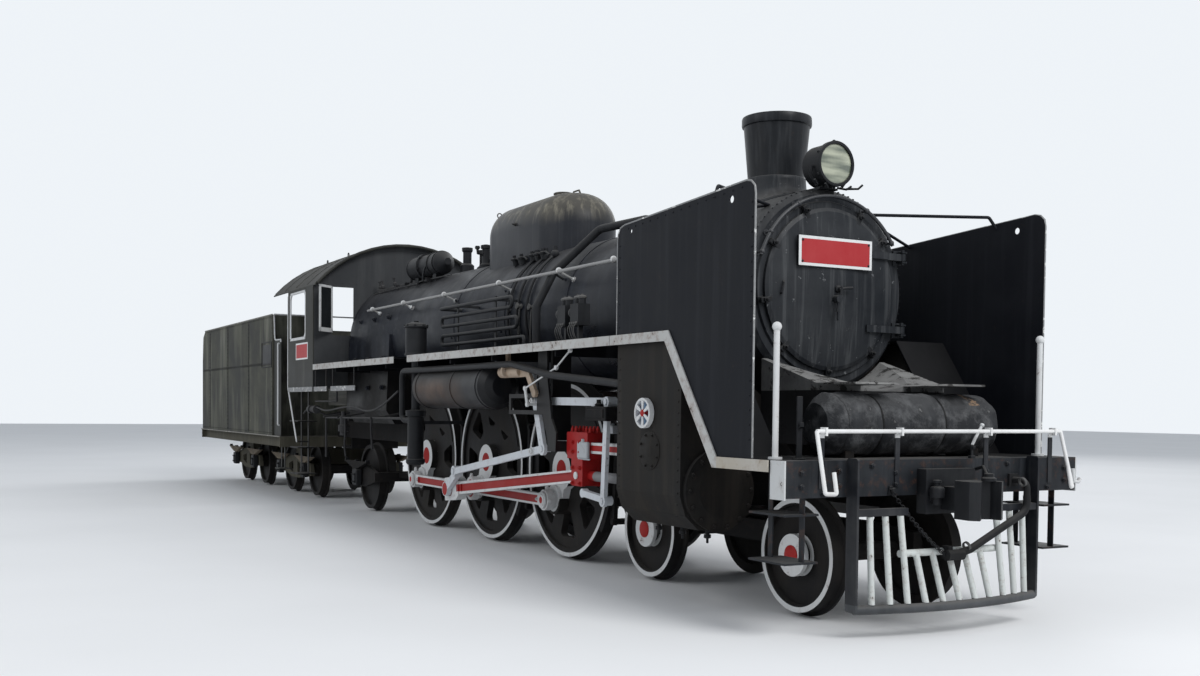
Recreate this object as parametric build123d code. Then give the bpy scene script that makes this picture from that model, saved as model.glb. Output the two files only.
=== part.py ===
from build123d import *
import math
import os

# Steam locomotive with tender, three coupled axles, narrow gauge, in millimetres

# Working datum: x forward from the main driving axle, y to the left, z up from the rail top
main_axle_ahead = 3190.0        # from the middle of the overall length to the main driving axle
flange_height = 30.0            # flanges hang this far below the rail top

# Fits and clearances
running_fit = 0.05              # radial play of a pin or journal in its bearing
seat_gap = 0.3                  # play between curved faces that seat on each other
side_play = 5.0                 # sideways play of a moving piece

# Wheels and axles
back_to_back = 990.0            # between the inner faces of a pair of wheels
tyre_width = 130.0
flange_width = 20.0
flange_slope = 15.0
driver_radius = 875.0
driver_pitch = 1900.0
driver_rim_radius = 790.0
driver_hub_radius = 200.0
driver_axle_radius = 95.0
driver_hub_face = 678.0
crank_radius = 330.0
crank_angle = 248.0             # right hand crank, from forward round through up
quartering = 90.0               # left hand crank ahead of the right by this angle
crankpin_radius = 60.0
crankpin_collar = 82.0
web_openings = 8
small_wheel_radius = 430.0
small_rim_radius = 372.0
small_hub_radius = 115.0
small_axle_radius = 70.0
small_hub_face = 662.0
trailing_wheel_radius = 470.0
leading_bogie_x = 4575.0
leading_wheelbase = 2110.0
trailing_axle_x = -4350.0
tender_bogie_wheelbase = 1557.0
front_tender_bogie_x = -7974.0
rear_tender_bogie_x = -11498.0

# Rods and motion
coupling_rod_inner = 740.0
coupling_rod_thick = 75.0
coupling_rod_depth = 120.0
coupling_eye_radius = 105.0
main_eye_radius = 135.0
crosshead_run = 1023.0          # from mid stroke of the crosshead pin to the cylinder
main_rod_plane = 1015.0
main_rod_thick = 80.0
wrist_pin_radius = 34.0
cylinder_axis_height = 890.0
slide_bar_height = 1145.0
slide_bar_depth = 96.0
slide_bar_width = 120.0
slide_bar_length = 1768.0
eccentric_throw = 240.0
gear_plane = 1150.0
gear_bar_thick = 36.0
link_trunnion_run = 1927.0      # from the link's trunnion to the cylinder
link_trunnion_height = 1565.0
link_foot_drop = 483.0
eccentric_rod_short = 37.0      # shorter than the way from the axle to the trunnion
link_upper = 250.0
valve_axis_height = 1500.0
lever_run = 518.0               # from the combination lever's top to the cylinder
valve_guide_length = 608.0

# Cylinders
cylinder_rear = 4208.0
cylinder_front = 5166.0
cylinder_cover_radius = 312.0
valve_cover_radius = 175.0
piston_rod_radius = 45.0
cladding_side = 1350.0
cladding_bottom = 590.0

# Frame
frame_inner = 380.0
frame_plate = 85.0
frame_top = 1330.0
frame_front = 6440.0
frame_rear = -6500.0
beam_face = 6464.0
beam_half_width = 1367.0
beam_top = 1170.0                # also the top of the low front part of the running boards
beam_bottom = 923.0
coupler_height = 905.0
front_coupler_face = 6950.0
rear_coupler_face = -13330.0
post_x = 6200.0
post_height = 880.0
pilot_x = 6540.0
pilot_top = 820.0
pilot_rail = 530.0
pilot_foot = 170.0
pilot_bow = 130.0
pilot_inner = 450.0             # inner pair of upright bars, with raked bars between them
pilot_bar_radius = 22.0
guard_y = 840.0
front_step_heights = (480.0, 800.0)
drawbar_x = -6190.0

# Boiler and smokebox
boiler_axis = 2458.0
smokebox_radius = 795.0
smokebox_front = 5174.0
smokebox_rear = 3560.0
smokebox_plate = 20.0
barrel_front_radius = 765.0
barrel_rear_radius = 812.0
barrel_rear = -2150.0
firebox_rear = -4600.0
firebox_front = -2830.0         # where its sides begin to reach down behind the rear driving wheels
firebox_top_radius = 850.0
firebox_half_width = 900.0
firebox_bottom = 1260.0
door_radius = 640.0
door_opening_radius = 600.0
door_seat = 5194.0
door_dish = 80.0
door_hinge_y = 735.0
door_hinge_x = 5232.0
hinge_heights = (2755.0, 2164.0)
hinge_pin_radius = 16.0
chimney_x = 4488.0
chimney_top = 3945.0
chimney_radius = 286.0
chimney_cap_radius = 352.0
chimney_bore = 225.0
dome_rear = -1420.0
dome_front = 1700.0
dome_top = 3890.0
dome_half_width = 440.0
headlamp_x = 5120.0
headlamp_z = 3438.0
headlamp_radius = 178.0
headlamp_length = 300.0

# Fittings on and beside the boiler
handrail_y = 889.0
handrail_z = 2823.0
handrail_rear = -3655.0
handrail_front = 4250.0
handrail_radius = 17.0
handrail_posts = (-3458.0, -2211.0, -790.0, 796.0, 2220.0, 3300.0, 4180.0)
front_rail_radius = 728.0       # about the boiler's axis, over the smokebox door
coil_y = 1050.0                 # air cooling coil
coil_rear = -440.0
coil_front = 1618.0
coil_bottom = 2208.0
coil_pitch = 105.0
coil_rows = 5
sand_pipes = (860.0, 1090.0, 1310.0)
steam_pipe_x = 1930.0
generator_rear = -3080.0
generator_front = -1902.0
generator_y = -400.0
generator_z = 3370.0
reservoir_rear = -747.0
reservoir_front = 1383.0
reservoir_radius = 235.0
reservoir_y = 1100.0
reservoir_z = 1716.0
reservoir_hangers = (-560.0, 478.0, 1250.0)
pump_x = -886.0
pump_y = 1200.0
pump_top = 2453.0
pump_bottom = 812.0
under_pipe_y = 1300.0
under_pipe_z = 1920.0
lubricators = (3010.0, 3260.0)

# Running boards and deflectors
board_top = 2090.0
board_plate = 14.0
board_edge = 1402.0
board_inner = 850.0
valance_depth = 78.0
valance_plate = 10.0
board_front_bend = 5050.0
board_low_x = 5707.0
board_front_rear = -644.0
board_rear_front = -1128.0
deflector_y = 1378.0
deflector_plate = 10.0
deflector_rear = 4250.0
deflector_front = 6118.0
deflector_top_rear = 2955.0
deflector_top_front = 3061.0

# Cab
cab_front = -4600.0
cab_rear = -5990.0
cab_half_width = 1400.0
cab_wall = 12.0
cab_bottom = 1763.0
eaves_height = 3240.0
roof_crown = 3890.0
roof_plate = 14.0
roof_rear = -6890.0
roof_front_overhang = 60.0
backhead_rear = -4990.0
side_window = (-5883.0, -5000.0)
side_window_sill = 2472.0
side_window_drop = 40.0         # from the eaves to the window's top
front_window = (801.0, 1120.0)
front_window_sill = 2521.0
front_window_drop = 19.0
cab_floor_plate = 27.0
step_width = 450.0
step_heights = (450.0, 850.0, 1250.0)

# Tender
tank_front = -7060.0
tank_rear = -12800.0
tank_half_width = 1380.0
tank_bottom = 1000.0
tank_top = 2960.0
tank_plate = 12.0
coal_rear = -10600.0
coal_floor_front = 1500.0
coal_floor_rear = 2350.0
tender_frame_front = -6560.0
tender_frame_rear = -12880.0
sill_bottom = 830.0
sill_plate = 30.0
tender_wing_front = -6620.0
tender_wing_top = 2540.0
tender_rail_x = -6700.0
filler_x = -12150.0
filler_radius = 220.0


def block(x0, x1, y0, y1, z0, z1):
    """Box between two corners."""
    return Pos((x0 + x1) / 2, (y0 + y1) / 2, (z0 + z1) / 2) * Box(x1 - x0, y1 - y0, z1 - z0)


def bar_x(x0, x1, y, z, radius):
    """Round bar along x."""
    return Pos((x0 + x1) / 2, y, z) * Rot(0, 90, 0) * Cylinder(radius, x1 - x0)


def bar_y(y0, y1, x, z, radius):
    """Round bar across."""
    return Pos(x, (y0 + y1) / 2, z) * Rot(90, 0, 0) * Cylinder(radius, y1 - y0)


def bar_z(z0, z1, x, y, radius):
    """Round bar upright."""
    return Pos(x, y, (z0 + z1) / 2) * Cylinder(radius, z1 - z0)


def outline(points, corner=0.0):
    """Flat face from corner points, with its corners rounded where asked."""
    face = make_face(Polyline(*points, close=True))
    return fillet(face.vertices(), corner) if corner else face


def side_plate(points, y0, y1, corner=0.0):
    """Plate drawn as (x, z) points, lying between two y planes."""
    plane = Plane(origin=(0, y1, 0), x_dir=(1, 0, 0), z_dir=(0, -1, 0))
    return extrude(plane * outline(points, corner), amount=y1 - y0)


def cross_plate(points, x0, x1, corner=0.0):
    """Plate drawn as (y, z) points, lying between two x planes."""
    plane = Plane(origin=(x0, 0, 0), x_dir=(0, 1, 0), z_dir=(1, 0, 0))
    return extrude(plane * outline(points, corner), amount=x1 - x0)


def deck_plate(points, z0, z1, corner=0.0):
    """Plate drawn as (x, y) points, lying between two heights."""
    return extrude(Plane.XY.offset(z0) * outline(points, corner), amount=z1 - z0)


def turned_x(profile, y, z):
    """Body turned about an axis along x, from (x, radius) points."""
    plane = Plane(origin=(0, y, z), x_dir=(1, 0, 0), z_dir=(0, -1, 0))
    return revolve(plane * outline(profile), Axis((0, y, z), (1, 0, 0)))


def turned_y(profile, x, z):
    """Body turned about an axis across, from (y, radius) points."""
    plane = Plane(origin=(x, 0, z), x_dir=(0, 1, 0), z_dir=(1, 0, 0))
    return revolve(plane * outline(profile), Axis((x, 0, z), (0, 1, 0)))


def turned_z(profile, x, y):
    """Body turned about an upright axis, from (radius, z) points."""
    plane = Plane(origin=(x, y, 0), x_dir=(1, 0, 0), z_dir=(0, -1, 0))
    return revolve(plane * outline(profile), Axis((x, y, 0), (0, 0, 1)))


def pipe(points, radius, bend):
    """Round pipe through points, its corners bent to one radius or to a list of them."""
    path = FilletPolyline(*points, radius=bend) if len(points) > 2 else Line(*points)
    start = Plane(origin=path @ 0, z_dir=path % 0)
    return sweep(start * Circle(radius), path=path)


def mirrored(shape):
    """The same piece for the other side."""
    return mirror(shape, Plane.XZ)


def join(*pieces):
    """One solid from pieces that meet."""
    return pieces[0] + list(pieces[1:])


def link_bar(start, end, y0, y1, depth, eye_start, eye_end):
    """Bar between two pins given as (x, z), with round eyes."""
    dx, dz = end[0] - start[0], end[1] - start[1]
    length = math.hypot(dx, dz)
    nx, nz = -dz / length * depth / 2, dx / length * depth / 2
    corners = [(start[0] + nx, start[1] + nz), (end[0] + nx, end[1] + nz),
               (end[0] - nx, end[1] - nz), (start[0] - nx, start[1] - nz)]
    beam = side_plate(corners, y0, y1)
    return join(beam, bar_y(y0, y1, *start, eye_start), bar_y(y0, y1, *end, eye_end))


def polar(centre, radius, degrees):
    """Point at an angle from forward round through up."""
    angle = math.radians(degrees)
    return (centre[0] + radius * math.cos(angle), centre[1] + radius * math.sin(angle))


def meet(a, radius_a, b, radius_b):
    """Lower meeting point of two circles drawn in the side view."""
    dx, dz = b[0] - a[0], b[1] - a[1]
    d = math.hypot(dx, dz)
    along = (d * d + radius_a * radius_a - radius_b * radius_b) / (2 * d)
    off = math.sqrt(radius_a * radius_a - along * along)
    return (a[0] + (along * dx + off * dz) / d, a[1] + (along * dz - off * dx) / d)


def save(name, *pieces):
    """Writes one node, set in the part's own frame."""
    shape = pieces[0] if len(pieces) == 1 else Compound(children=list(pieces))
    export_step(Pos(main_axle_ahead, 0, flange_height) * shape, f"parts/{name}.step")


os.makedirs("parts", exist_ok=True)

# Values worked out from the driving dimensions
main_rod_length = cylinder_rear - crosshead_run
slide_bar_rear = cylinder_rear - slide_bar_length
link_trunnion = (cylinder_rear - link_trunnion_run, link_trunnion_height)
eccentric_rod_length = link_trunnion[0] - eccentric_rod_short
wheel_back = back_to_back / 2
tyre_face = wheel_back + tyre_width
axle_height = driver_radius
frame_outer = frame_inner + frame_plate
coupling_rod_outer = coupling_rod_inner + coupling_rod_thick
crank_angles = {-1: crank_angle, 1: crank_angle + quartering}
driver_xs = {"front": driver_pitch, "main": 0.0, "rear": -driver_pitch}
main_pins = {s: polar((0.0, axle_height), crank_radius, crank_angles[s]) for s in (-1, 1)}
pin_cap_inner = coupling_rod_outer + side_play
pin_cap_outer = pin_cap_inner + 20.0


def wheel_section(tread, rim, hub, axle, web_in, web_out, hub_face, journal=0.0, journal_end=0.0):
    """Half section of a pair of wheels on their axle, as (y, radius) from the middle outwards."""
    half = [(0.0, axle), (wheel_back - 10, axle), (wheel_back - 10, hub), (web_in, hub),
            (web_in, rim), (wheel_back, rim), (wheel_back, tread + flange_height),
            (wheel_back + flange_width, tread + flange_height),
            (wheel_back + flange_width + flange_slope, tread), (tyre_face, tread - 5),
            (tyre_face, rim), (web_out, rim), (web_out, hub), (hub_face, hub)]
    if journal:
        half += [(hub_face, journal), (journal_end, journal), (journal_end, 0.0)]
    else:
        half += [(hub_face, 0.0)]
    return half + [(-y, r) for y, r in reversed(half[1:])]


def driving_wheelset(x):
    """Pair of driving wheels with box section centres, balance weights and crankpins."""
    web_in, web_out = wheel_back + 30, tyre_face - 25
    solid = turned_y(wheel_section(driver_radius, driver_rim_radius, driver_hub_radius,
                                   driver_axle_radius, web_in, web_out, driver_hub_face), x, axle_height)
    step = 360 / web_openings
    for k in range(web_openings):
        middle = crank_angle + step * (k + 0.5)
        corners = [polar((x, axle_height), r, middle + a) for r, a in
                   ((420, -9.0), (700, -14.0), (700, 14.0), (420, 9.0))]
        solid -= side_plate(corners, -tyre_face, tyre_face, corner=45)
    for s in (-1, 1):
        pin = polar((x, axle_height), crank_radius, crank_angles[s])
        y = sorted((s * web_in, s * (coupling_rod_inner - 35)))
        boss = bar_y(*y, *pin, 150)
        root_y = sorted((s * web_in, s * driver_hub_face))
        arm = link_bar((x, axle_height), pin, *root_y, 260, driver_hub_radius, 150)
        weight_y = sorted((s * web_in, s * (tyre_face + 8)))
        weight = bar_y(*weight_y, x, axle_height, driver_rim_radius - 2)
        away = crank_angles[s] + 180
        keep = Pos(x, 0, axle_height) * Rot(0, -away, 0) * block(470, driver_radius, -driver_radius,
                                                                 driver_radius, -driver_radius, driver_radius)
        weight = weight & keep
        pin_y = sorted((s * web_in, s * pin_cap_outer))
        collar_y = sorted((s * web_in, s * (coupling_rod_inner - side_play)))
        cap_y = sorted((s * pin_cap_inner, s * pin_cap_outer))
        solid = join(solid, boss, arm, weight, bar_y(*pin_y, *pin, crankpin_radius),
                     bar_y(*collar_y, *pin, crankpin_collar), bar_y(*cap_y, *pin, crankpin_collar))
    return solid


for name, x in driver_xs.items():
    save(f"driving_wheels_{name}", driving_wheelset(x))


def small_wheelset(x, tread, journal_end=0.0):
    """Pair of carrying wheels on one axle, with journals outside the wheels where asked."""
    rim = tread - (small_wheel_radius - small_rim_radius)
    journal = small_axle_radius - 8 if journal_end else 0.0
    return turned_y(wheel_section(tread, rim, small_hub_radius, small_axle_radius, wheel_back + 45,
                                  tyre_face - 45, small_hub_face, journal, journal_end), x, tread)


side_frame_inner = 700.0
side_frame_plate = 60.0
journal_end = side_frame_inner + side_frame_plate + 10
leading_axles = {"front": leading_bogie_x + leading_wheelbase / 2, "rear": leading_bogie_x - leading_wheelbase / 2}
for name, x in leading_axles.items():
    save(f"leading_wheels_{name}", small_wheelset(x, small_wheel_radius))
save("trailing_wheels", small_wheelset(trailing_axle_x, trailing_wheel_radius, journal_end))
tender_bogies = {"front": front_tender_bogie_x, "rear": rear_tender_bogie_x}
for name, x in tender_bogies.items():
    for number, side in ((1, 1), (2, -1)):
        wheels = small_wheelset(x + side * tender_bogie_wheelbase / 2, small_wheel_radius, journal_end)
        save(f"tender_{name}_wheels_{number}", wheels)


def coupling_rod(s):
    """Side rod over the three crankpins, with fluted beams."""
    y = sorted((s * coupling_rod_inner, s * coupling_rod_outer))
    beam_y = sorted((s * (coupling_rod_inner + 8), s * (coupling_rod_outer - 8)))
    pins = [polar((x, axle_height), crank_radius, crank_angles[s]) for x in driver_xs.values()]
    front, main, rear = pins
    rod = join(link_bar(rear, front, *beam_y, coupling_rod_depth, 60, 60),
               bar_y(*y, *front, coupling_eye_radius), bar_y(*y, *rear, coupling_eye_radius),
               bar_y(*y, *main, main_eye_radius))
    flute = coupling_rod_depth / 2 - 24
    flute_y = sorted((s * (coupling_rod_outer - 18), s * coupling_rod_outer))
    for a, b in ((rear, main), (main, front)):
        rod -= block(a[0] + 190, b[0] - 190, *flute_y, a[1] - flute, a[1] + flute)
    for pin in pins:
        rod -= bar_y(y[0] - 1, y[1] + 1, *pin, crankpin_radius + running_fit)
    return rod


for s, name in ((-1, "right"), (1, "left")):
    save(f"coupling_rod_{name}", coupling_rod(s))


def wrist_pin(s):
    """Place of the crosshead pin, from the crank and the length of the main rod."""
    pin = main_pins[s]
    rise = cylinder_axis_height - pin[1]
    return (pin[0] + math.sqrt(main_rod_length ** 2 - rise ** 2), cylinder_axis_height)


rod_half = main_rod_thick / 2
stub_inner = pin_cap_outer + side_play + 1
crank_face = main_rod_plane + rod_half + 20
crosshead_half = 75.0


def main_rod(s):
    """Connecting rod with a fluted beam, and the outer crankpin in its big end."""
    big, small = main_pins[s], wrist_pin(s)
    y = sorted((s * (main_rod_plane - rod_half), s * (main_rod_plane + rod_half)))
    eye_y = sorted((s * (main_rod_plane - rod_half - 15), s * (main_rod_plane + rod_half + 15)))
    slope = math.degrees(math.atan2(small[1] - big[1], small[0] - big[0]))
    length = main_rod_length
    beam = side_plate([(0, -72), (length, -58), (length, 58), (0, 72)], *y)
    head = side_plate([(-150, -130), (170, -130), (250, -85), (250, 85), (170, 130), (-150, 130)], *eye_y, corner=25)
    flute_y = sorted((s * (main_rod_plane + rod_half - 14), s * (main_rod_plane + rod_half + 1)))
    flute = side_plate([(300, -46), (length - 190, -34), (length - 190, 34), (300, 46)], *flute_y)
    rod = join(beam, head) - flute
    rod = Pos(big[0], 0, big[1]) * Rot(0, -slope, 0) * rod
    stub_y = sorted((s * stub_inner, s * crank_face))
    wrist_y = sorted((s * (main_rod_plane - slide_bar_width / 2 - 36),
                      s * (main_rod_plane + slide_bar_width / 2 + 46)))
    return join(rod, bar_y(*stub_y, *big, crankpin_radius), bar_y(*y, *small, 78),
                bar_y(*wrist_y, *small, wrist_pin_radius))


def crosshead(s):
    """Crosshead hung under its slide bar, with the crosshead pin, piston rod and drop arm."""
    x, z = wrist_pin(s)
    inner, outer = main_rod_plane - rod_half - 2, main_rod_plane + rod_half + 2
    low, high = slide_bar_height - slide_bar_depth / 2, slide_bar_height + slide_bar_depth / 2
    half = slide_bar_width / 2
    cheeks = []
    for y0, y1 in ((main_rod_plane - half - 36, main_rod_plane - half - seat_gap),
                   (main_rod_plane + half + seat_gap, main_rod_plane + half + 36)):
        points = [(x - 95, z - 95), (x + 120, z - 95), (x + 120, low - 30), (x + 210, low - 20),
                  (x + 210, high + 90), (x - 190, high + 90), (x - 190, low - 20), (x - 95, low - 30)]
        cheeks.append(side_plate(points, *sorted((s * y0, s * y1)), corner=18))
    y = sorted((s * (main_rod_plane - half - 30), s * (main_rod_plane + half + 30)))
    cap = block(x - 190, x + 210, *y, high + seat_gap, high + 84)
    shoe = block(x - 190, x + 210, *y, low - 56, low - seat_gap)
    neck = bar_x(x + 80 + side_play, cylinder_rear + 40, s * main_rod_plane, z, piston_rod_radius)
    boss = block(x + 84, x + 118, *y, z - 90, low - 30)
    piece = join(cheeks[0], cheeks[1], cap, shoe, neck, boss)
    rod_space = sorted((s * inner, s * outer))
    piece -= block(x - 300, x + 84, *rod_space, z - 120, low - 60)
    return piece - bar_y(y[0] - 50, y[1] + 50, x, z, wrist_pin_radius + seat_gap)


for s, name in ((-1, "right"), (1, "left")):
    save(f"main_rod_{name}", main_rod(s))
    save(f"crosshead_{name}", crosshead(s))


def valve_gear(s):
    """Return crank, eccentric rod, expansion link, radius rod, combination lever and union link."""
    inner = crank_face
    bar_inner = gear_plane - gear_bar_thick / 2
    bar_outer = gear_plane + gear_bar_thick / 2
    back = sorted((s * inner, s * (bar_inner - 2)))
    front = sorted((s * bar_inner, s * bar_outer))
    through = sorted((s * inner, s * (bar_outer + 12)))
    pin = main_pins[s]
    throw = polar((0.0, axle_height), eccentric_throw, crank_angles[s] + 90)
    foot = meet(throw, eccentric_rod_length, link_trunnion, link_foot_drop)
    lean = math.atan2(foot[0] - link_trunnion[0], link_trunnion[1] - foot[1])
    top = (link_trunnion[0] - link_upper * math.sin(lean), link_trunnion[1] + link_upper * math.cos(lean))
    wrist = wrist_pin(s)
    drop_end = (wrist[0] + 150, wrist[1] - 150)
    lever_foot = (drop_end[0] + 440, drop_end[1] - 40)
    lever_top = (cylinder_rear - lever_run, valve_axis_height + 56)
    return join(
        link_bar(pin, throw, *back, 90, 80, 60),
        bar_y(*through, *throw, 34),
        link_bar(throw, foot, *front, 70, 62, 52),
        bar_y(*through, *foot, 30),
        link_bar(foot, top, *front, 96, 60, 60),
        bar_y(*through, *link_trunnion, 44),
        link_bar(link_trunnion, lever_top, *back, 72, 50, 44),
        bar_y(*through, *lever_top, 26),
        link_bar(lever_top, lever_foot, *front, 64, 46, 50),
        bar_y(*through, *lever_foot, 26),
        link_bar(drop_end, lever_foot, *back, 56, 40, 40),
    )


save("valve_gear_left", valve_gear(1))

# Reversing cylinder on the right hand side, with its arm down to the radius rod
reverser_rear = link_trunnion[0] - 640
reverser_z = link_trunnion[1] + 285
reverser_y = -(gear_plane + 65)
reverser = bar_x(reverser_rear, reverser_rear + 455, reverser_y, reverser_z, 58)
reverser -= bar_x(reverser_rear - 1, reverser_rear + 60, reverser_y, reverser_z, 42)
reverser = join(reverser,
                link_bar((reverser_rear + 440, reverser_z), (reverser_rear + 600, reverser_z), -gear_plane - 90,
                         -gear_plane - 58, 108, 54, 54),
                link_bar((reverser_rear + 600, reverser_z), (reverser_rear + 762, reverser_z - 210), -gear_plane - 90,
                         -gear_plane - 58, 74, 54, 42),
                block(reverser_rear + 100, reverser_rear + 160, reverser_y - 15, reverser_y + 15, reverser_z + 40,
                      board_top - board_plate))
save("valve_gear_right", valve_gear(-1), reverser)

# Main frame with horns, stretchers, axle bearings and pivot pins
horn_x = driver_pitch + 700
frame_points = [(frame_rear, 1000), (-horn_x - 250, 1000), (-horn_x, 640), (horn_x, 640),
                (horn_x + 250, 925), (frame_front, 925), (frame_front, beam_top - 20),
                (cylinder_front + 234, beam_top - 20), (cylinder_front + 34, frame_top),
                (firebox_front + 110, frame_top), (firebox_front + 40, firebox_bottom), (frame_rear, firebox_bottom)]
frame_sides = [side_plate(frame_points, frame_inner, frame_outer, corner=30)]
frame_sides.append(mirrored(frame_sides[0]))
stretchers = [block(x - 60, x + 60, -frame_inner, frame_inner, z0, z1) for x, z0, z1 in (
    (frame_front - 540, 925, beam_top - 20), (leading_bogie_x, 925, frame_top),
    (driver_pitch + 1100, 925, frame_top),
    (driver_pitch / 2, 900, frame_top), (-driver_pitch / 2, 900, frame_top), (-driver_pitch - 600, 640, frame_top),
    (trailing_axle_x + 150, 1000, firebox_bottom), (trailing_axle_x - 950, 1000, firebox_bottom))]
drag_box = join(block(frame_rear, drawbar_x + 160, -frame_inner, frame_inner, 1000, 1060),
                block(frame_rear, drawbar_x + 160, -frame_inner, frame_inner, 820, 860),
                block(drawbar_x + 150, drawbar_x + 200, -frame_inner, frame_inner, 820, 1060),
                bar_z(850, 1010, drawbar_x, 0, 50))
leading_pivot = bar_z(560, 1000, leading_bogie_x, 0, 90)
trailing_pivot_x = -2900.0
trailing_pivot = join(block(trailing_pivot_x - 90, -2440, -120, 120, 660, 760),
                      bar_z(470, 700, trailing_pivot_x, 0, 50))
main_frame = join(*frame_sides, *stretchers, drag_box, leading_pivot, trailing_pivot)
for x in driver_xs.values():
    main_frame -= bar_y(-frame_outer - 1, frame_outer + 1, x, axle_height, driver_axle_radius + running_fit)
save("main_frame", main_frame)

# Buffer beam with its end plates and steps
beam = join(block(frame_front, beam_face, -beam_half_width, beam_half_width, beam_bottom, beam_top),
            block(frame_front - 130, frame_front, -beam_half_width, beam_half_width, beam_top - 14, beam_top),
            block(frame_front - 130, beam_face, beam_half_width, beam_half_width + 12, beam_bottom - 10, beam_top),
            block(frame_front - 130, beam_face, -beam_half_width - 12, -beam_half_width, beam_bottom - 10, beam_top))
front_steps = []
for s in (-1, 1):
    y = sorted((s * (beam_half_width - 190), s * (beam_half_width - 180)))
    tread_y = sorted((s * (beam_half_width - 300), s * (beam_half_width - 20)))
    for x in (beam_face - 400, beam_face - 60):
        front_steps.append(block(x - 25, x + 25, *y, front_step_heights[0], beam_top - board_plate))
    for z in front_step_heights:
        front_steps.append(block(beam_face - 430, beam_face - 30, *tread_y, z, z + 14))
save("buffer_beam", join(beam, *front_steps))


def coupler(direction, face, carrier):
    """Knuckle coupler: shank, head with guard arm, and the closed knuckle."""
    length = abs(face - carrier)
    head = [(length, 70), (length - 60, 150), (length - 200, 150), (length - 260, 85), (0, 85),
            (0, -85), (length - 260, -85), (length - 210, -150), (length - 60, -165),
            (length - 5, -120), (length - 70, -40), (length - 120, 10), (length - 90, 60)]
    solid = deck_plate([(carrier + direction * a, direction * b) for a, b in head],
                       coupler_height - 130, coupler_height + 130)
    shank = [(0, coupler_height - 260), (length - 250, coupler_height - 260), (length - 250, coupler_height - 80),
             (0, coupler_height - 80)]
    waste = [side_plate([(carrier + direction * (a - 1), z) for a, z in shank], -300, 300),
             side_plate([(carrier + direction * (a - 1), 2 * coupler_height - z) for a, z in shank], -300, 300)]
    return solid - waste


pocket = join(block(beam_face, beam_face + 90, -230, 230, coupler_height - 110, coupler_height + 200)
              ) - block(beam_face, beam_face + 95, -86, 86, coupler_height - 81, coupler_height + 81)
save("front_coupler", join(coupler(1, front_coupler_face, beam_face), pocket))

# Pilot below the beam: bowed foot bar, upright bars at the sides, raked ones between them, guard plates
foot_arc = ThreePointArc((pilot_x, -guard_y - 8, pilot_foot), (pilot_x + pilot_bow, 0, pilot_foot),
                         (pilot_x, guard_y + 8, pilot_foot))
bow_radius = ((guard_y + 8) ** 2 + pilot_bow ** 2) / (2 * pilot_bow)


def foot_x(y):
    """Place of the bowed foot bar at a distance from the middle."""
    return pilot_x + pilot_bow - bow_radius + math.sqrt(bow_radius ** 2 - y * y)


pilot_parts = [sweep(Plane(origin=foot_arc @ 0, z_dir=foot_arc % 0) * Circle(pilot_bar_radius + 10), path=foot_arc),
               bar_y(-pilot_inner, pilot_inner, pilot_x, pilot_rail, pilot_bar_radius + 3)]
for s in (-1, 1):
    y = sorted((s * (pilot_inner - 50), s * (guard_y + 8)))
    pilot_parts.append(block(pilot_x - 28, pilot_x + 28, *y, pilot_top - 24, pilot_top + 24))
    for y in (pilot_inner, pilot_inner + 135, pilot_inner + 270):
        pilot_parts.append(pipe([(pilot_x, s * y, pilot_top), (foot_x(y), s * y, pilot_foot)], pilot_bar_radius, 0))
for k in range(-2, 3):
    y = k * pilot_inner / 3
    pilot_parts.append(pipe([(pilot_x, y, pilot_rail), (foot_x(y), y, pilot_foot)], pilot_bar_radius, 0))
for s in (-1, 1):
    y = sorted((s * guard_y, s * (guard_y + 18)))
    plate = side_plate([(beam_face, 150), (beam_face + 110, 150), (beam_face + 110, beam_top + 15),
                        (beam_face, beam_top + 15)], *y, corner=20)
    pilot_parts.append(plate)
pilot = join(*pilot_parts)
save("pilot", pilot)

# Brake hose from its cock on the beam down to a coupling head hung on the pilot's rail
hose_x = pilot_x + 66
hose_y = guard_y - 145
hose_z = pilot_rail - 22
cock = join(block(beam_face, beam_face + 20, hose_y - 45, hose_y + 45, coupler_height + 60, coupler_height + 150),
            pipe([(beam_face + 10, hose_y, coupler_height + 105), (hose_x, hose_y, coupler_height + 105),
                  (hose_x, hose_y, coupler_height - 10)], 24, 60))
hose = pipe([(hose_x, hose_y, coupler_height), (hose_x, hose_y + 5, coupler_height - 110), (hose_x, 140, hose_z + 30),
             (hose_x, -20, hose_z)], 27, 100)
head = join(bar_y(-80, 70, hose_x, hose_z, 38), block(pilot_x, hose_x, -60, -20, hose_z - 30, pilot_rail + 40))
save("brake_hose", join(cock, hose, head) - pilot)

# Rail across the beam for lifting the coupler's lock, with looped ends
rail_x = beam_face + 40
rail_height = 1365.0
rail = [bar_y(-1150, 1150, rail_x, rail_height, 14)]
for s in (-1, 1):
    rail.append(pipe([(rail_x, s * 1150, rail_height), (rail_x + 110, s * 1160, 960), (rail_x + 150, s * 1100, 960),
                      (rail_x + 120, s * 1100, 1100)], 14, 12))
    for y in (1080, 420):
        rail.append(block(beam_face, beam_face + 10, s * y - 20, s * y + 20, beam_bottom + 60, rail_height - 20))
        rail.append(block(beam_face, rail_x + 20, s * y - 8, s * y + 8, rail_height - 30, rail_height + 26))
save("uncoupling_rail", join(*rail))

# Front platform, sloping apron under the smokebox, and ball topped posts
platform = block(board_low_x, frame_front - 130, -board_inner, board_inner, beam_top - 20, beam_top)
posts = []
for s in (-1, 1):
    y = s * (beam_half_width - 110)
    post = join(bar_z(beam_top, beam_top + post_height, post_x, y, 21),
                Pos(post_x, y, beam_top + post_height + 12) * Sphere(33),
                bar_z(beam_top, beam_top + 16, post_x, y, 48))
    posts.append(post)
save("front_platform", platform, *posts)

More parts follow.
